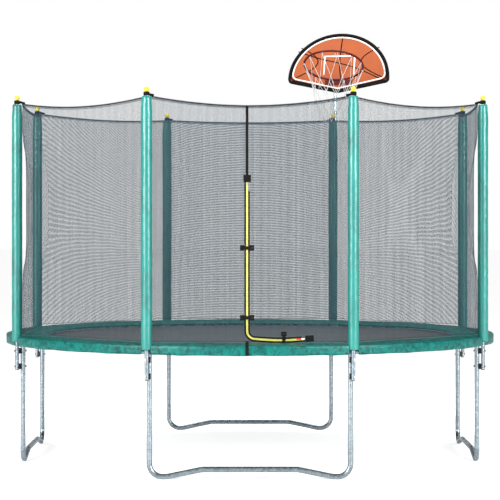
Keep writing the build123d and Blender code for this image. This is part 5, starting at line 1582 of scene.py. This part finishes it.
@dataclass
class HoopDetails:
    """What the hoop needs beyond its nodes: the board's printed lines and the knotted net."""

    board_bottom: float = 2870 * MM
    from_mast: Flat = (7 * MM, -270 * MM)
    yaw: float = 10.0
    tilt: float = 25.0
    half_width: float = 430 * MM
    height: float = 570 * MM
    side_rise: float = 100 * MM
    line: float = 12 * MM
    black_line: float = 10 * MM
    trim_lip: float = 14 * MM
    rim_radius: float = 244 * MM
    rim_reach: float = 320 * MM
    rim_height: float = 80 * MM
    hooks: int = 12
    cord: float = 2.0 * MM
    net_rows: int = 5

    def board(self) -> Matrix:
        """The board's own frame: X to its right, Y up it, Z towards the player."""
        lo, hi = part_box("hoop_mast")
        yaw, tilt = math.radians(self.yaw), math.radians(self.tilt)
        normal = Vector((-math.sin(yaw) * math.cos(tilt), -math.cos(yaw) * math.cos(tilt), math.sin(tilt)))
        right = Vector((math.cos(yaw), -math.sin(yaw), 0))
        up = normal.cross(right)
        origin = Vector(((lo.x + hi.x) / 2 + self.from_mast[0], (lo.y + hi.y) / 2 + self.from_mast[1],
                         self.board_bottom))
        turn = Matrix((right, up, normal)).transposed().to_4x4()
        return Matrix.Translation(origin) @ turn

    def edge(self, inset: float) -> list[Flat]:
        """The board's outline moved in by an inset, as points that close on themselves."""
        half, rise, high = self.half_width, self.side_rise, self.height
        centre = (half * half + rise * rise - high * high) / (2 * (rise - high))
        radius = high - centre
        slope = math.atan2(rise, half)
        ring = []
        inner = radius - inset
        far = half - inset * 1.05
        turn = math.acos(min(1.0, far / inner)) if far < inner else 0.0
        for share in np.linspace(0, 1, 49):
            a = turn + share * (math.pi - 2 * turn)
            ring.append((inner * math.cos(a), centre + inner * math.sin(a)))
        lift = inset / math.cos(slope)
        corner_z = rise + lift
        first, last = ring[0], ring[-1]
        bottom = [(last[0], max(corner_z + 22 * MM, 0)), (last[0] + 10 * MM, corner_z + 4 * MM),
                  (last[0] + 34 * MM, corner_z - 10 * MM), (0.0, lift),
                  (first[0] - 34 * MM, corner_z - 10 * MM), (first[0] - 10 * MM, corner_z + 4 * MM),
                  (first[0], max(corner_z + 22 * MM, 0))]
        return ring + bottom

    def printed(self, name: str, runs: Sequence[tuple[Sequence[Flat], float]], finish: Finish,
                lift: float) -> bpy.types.Object:
        """Printed lines: thin raised bands on the board's face.

        Args:
            name: the piece's name.
            runs: each line's points and width.
            finish: what it is printed in.
            lift: how proud the print stands.

        Returns:
            The lines as one piece.
        """
        parts = []
        for points, width in runs:
            path = np.array([(x, y, lift) for x, y in points])
            parts.append(strap("line", path, (0, 0, 1), width, 0.5 * MM))
        lines = join(name, parts)
        lines.data.transform(self.board())
        finish.dress(lines)
        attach(lines, "frame")
        return lines

    def prints(self) -> list[bpy.types.Object]:
        """A white border and target, and black seams as on a ball."""
        lip, border = self.edge(23 * MM), self.edge(37 * MM)
        target = [((-128 * MM, 170 * MM), (-128 * MM, 352 * MM)),
                  ((-134 * MM, 350 * MM), (134 * MM, 350 * MM)),
                  ((128 * MM, 352 * MM), (128 * MM, 170 * MM))]
        white = [(border + border[:2], self.line)] + [(list(pair), self.line) for pair in target]
        seams = [(lip + lip[:2], self.trim_lip)]
        for way in (-1, 1):
            bow = [(way * (0.385 - 0.20 * math.sin(math.pi * t)), 0.135 + 0.325 * t)
                   for t in np.linspace(0, 0.92, 25)]
            seams.append((bow, self.black_line))
        seams.append(([(-0.36, 0.40), (-0.20, 0.33), (0.0, 0.285), (0.2, 0.215), (0.355, 0.125)],
                      self.black_line))
        seams.append(([(0.03, 0.06), (0.005, 0.2), (0.0, 0.36), (0.015, 0.53)], self.black_line))
        smooth_seams = [(points if len(points) >= 9 else
                         [(p[0], p[1]) for p in soft_path([(x, y, 0) for x, y in points], 8)], width)
                        for points, width in seams]
        return [self.printed("board_white_lines", white, WHITE_PRINT, 0.45 * MM),
                self.printed("board_black_seams", smooth_seams, BLACK_PRINT, 0.3 * MM)]

    def net(self) -> bpy.types.Object:
        """The white net: twelve loops from the hooks, knotted in diamonds that lengthen to a narrow mouth."""
        board = self.board()
        lo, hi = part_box("hoop_net")
        centre = board @ Vector((0, self.rim_height, self.rim_reach))
        ring = []
        for index in range(self.hooks):
            a = (index + 0.5) * 2 * math.pi / self.hooks
            hook = Vector((math.cos(a) * self.rim_radius, self.rim_height - 20 * MM,
                           self.rim_reach - math.sin(a) * self.rim_radius))
            ring.append(board @ hook)
        rows = [ring]
        bottom = lo.z + 4 * MM
        shares = [0.0, 0.34, 0.58, 0.79, 1.0]
        radii = [1.0, 0.80, 0.66, 0.56, 0.47]
        for row in range(1, self.net_rows):
            knots = []
            for index in range(self.hooks):
                a = (index + 0.5 + 0.5 * (row % 2)) * 2 * math.pi / self.hooks
                first = ring[index]
                second = ring[(index + 1) % self.hooks] if row % 2 else first
                above = (first + second) / 2
                spread = radii[row] * (1 + 0.05 * math.sin(5 * a + row)) * 0.985
                offset = (above - centre)
                flat = Vector((offset.x, offset.y, 0)) * spread
                drop = shares[row] + 0.018 * math.sin(3 * a + 2 * row)
                z = above.z + (bottom - above.z) * min(drop, 1.0)
                knots.append(Vector((centre.x + flat.x, centre.y + flat.y, z)))
            rows.append(knots)
        parts = []
        for row in range(1, self.net_rows):
            for index in range(self.hooks):
                knot = rows[row][index]
                uppers = (index, (index + 1) % self.hooks) if row % 2 else (index, (index - 1) % self.hooks)
                for upper in uppers:
                    start = rows[row - 1][upper]
                    inward = Vector((knot.x - centre.x, knot.y - centre.y, 0)) * -0.02
                    middle = (start + knot) / 2 + inward - Vector((0, 0, 4 * MM))
                    parts.append(tube("cord", soft_path([start, middle, knot], 5), self.cord, 6))
                deselect()
                bpy.ops.mesh.primitive_ico_sphere_add(subdivisions=2, radius=self.cord * 2.0, location=knot)
                tie = named("knot")
                tie.scale = (1.0, 1.0, 1.35)
                parts.append(settle(tie))
        for index in range(self.hooks):
            deselect()
            bpy.ops.mesh.primitive_torus_add(major_radius=6.5 * MM, minor_radius=self.cord, major_segments=16,
                                             minor_segments=6,
                                             location=ring[index], rotation=(math.pi / 2, 0, 0.5 * index))
            parts.append(settle(named("eye")))
        net = join("hoop_net_cords", parts)
        for polygon in net.data.polygons:
            polygon.use_smooth = True
        WHITE_CORD.dress(net)
        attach(net, "frame")
        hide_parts("hoop_net")
        LOG.info("hoop net hangs to %.3f m from %.3f m", lo.z, hi.z)
        return net


# Studio --------------------------------------------------------------------------------------------------


@dataclass
class Studio:
    """A pale floor, soft lights and the camera."""

    distance: float = 15.613
    eye_height: float = 1.766
    lens: float = 145.8
    shift: float = -0.0541
    floor_lift: float = 0.62
    surround: float = 0.36
    lights: tuple[tuple[Point, Point, float, float], ...] = field(default_factory=lambda: (
        ((8.5, -9.5, 4.0), (0.0, 0.0, 1.4), 4.6, 1250.0),
        ((-8.5, -9.5, 4.0), (0.0, 0.0, 1.4), 4.6, 1350.0),
        ((0.0, 2.0, 9.0), (0.0, 0.0, 1.0), 7.0, 700.0),
    ))

    def camera(self) -> None:
        """Stand the camera in front of the door, level, at the height of a standing person's eye."""
        data = bpy.data.cameras.new("camera")
        data.lens, data.sensor_width = self.lens, 36.0
        data.shift_y = self.shift
        data.clip_end = 200.0
        camera = bpy.data.objects.new("camera", data)
        camera.location = (0, -self.distance, self.eye_height)
        camera.rotation_euler = (math.pi / 2, 0, 0)
        bpy.context.collection.objects.link(camera)
        bpy.context.scene.camera = camera

    def floor(self) -> None:
        """A large pale matt floor."""
        deselect()
        bpy.ops.mesh.primitive_circle_add(vertices=64, radius=120, fill_type="NGON", location=(0, 0, 0))
        floor = settle(named("studio_floor"))
        made = bpy.data.materials.new("matt_white_floor")
        made.use_nodes = True
        shader = next(node for node in made.node_tree.nodes if node.type == "BSDF_PRINCIPLED")
        shader.inputs["Base Color"].default_value = linear("f8f8f8")
        shader.inputs["Roughness"].default_value = 0.9
        seen = add_node(made.node_tree, "LightPath").outputs["Is Camera Ray"]
        lift = add_node(made.node_tree, "Math", {0: seen, 1: self.floor_lift},
                        operation="MULTIPLY").outputs[0]
        shader.inputs["Emission Color"].default_value = (1.0, 1.0, 1.0, 1.0)
        made.node_tree.links.new(lift, shader.inputs["Emission Strength"])
        floor.data.materials.append(made)

    def light(self) -> None:
        """Soft boxes and a pale surround."""
        for index, (place, aim, size, power) in enumerate(self.lights):
            data = bpy.data.lights.new(f"softbox_{index + 1}", "AREA")
            data.shape, data.size, data.energy = "DISK", size, power
            lamp = bpy.data.objects.new(data.name, data)
            lamp.location = place
            lamp.rotation_euler = (Vector(aim) - Vector(place)).to_track_quat("-Z", "Y").to_euler()
            bpy.context.collection.objects.link(lamp)
        world = bpy.context.scene.world or bpy.data.worlds.new("surround")
        bpy.context.scene.world = world
        world.use_nodes = True
        tree = world.node_tree
        tree.nodes.clear()
        seen = add_node(tree, "LightPath").outputs["Is Camera Ray"]
        strength = add_node(tree, "MapRange", {"Value": seen, "To Min": self.surround,
                                               "To Max": 1.0}).outputs["Result"]
        back = add_node(tree, "Background", {"Color": (1.0, 1.0, 1.0, 1.0), "Strength": strength})
        add_node(tree, "OutputWorld", {"Surface": back.outputs["Background"]})
        bpy.context.scene.view_settings.view_transform = "Standard"

    def build(self) -> None:
        """Set up all of it."""
        self.camera()
        self.floor()
        self.light()


def main() -> None:
    """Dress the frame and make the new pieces."""
    logging.basicConfig(level=logging.INFO, format="%(message)s")
    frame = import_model()
    deselect()
    dress_kept_nodes(frame["nodes"])
    layout, door = Layout.read(), Door.read()
    Studio().build()
    PoleSleeves(layout).build()
    pad = SafetyPad(layout)
    pad.build()
    pad.ties()
    bed = JumpingBed(layout)
    bed.mat()
    bed.coil_springs()
    net = EnclosureNet(layout, door)
    net.panels()
    net.hem_cords()
    net.seam()
    net.corner_loops()
    furniture = DoorFurniture(layout, door)
    furniture.tapes()
    furniture.end_patches()
    for index, place in enumerate(furniture.latches(), 1):
        furniture.latch(index, place)
    furniture.pull()
    furniture.tail_strap()
    hoop = HoopDetails()
    hoop.prints()
    hoop.net()


if __name__ == "__main__":
    main()
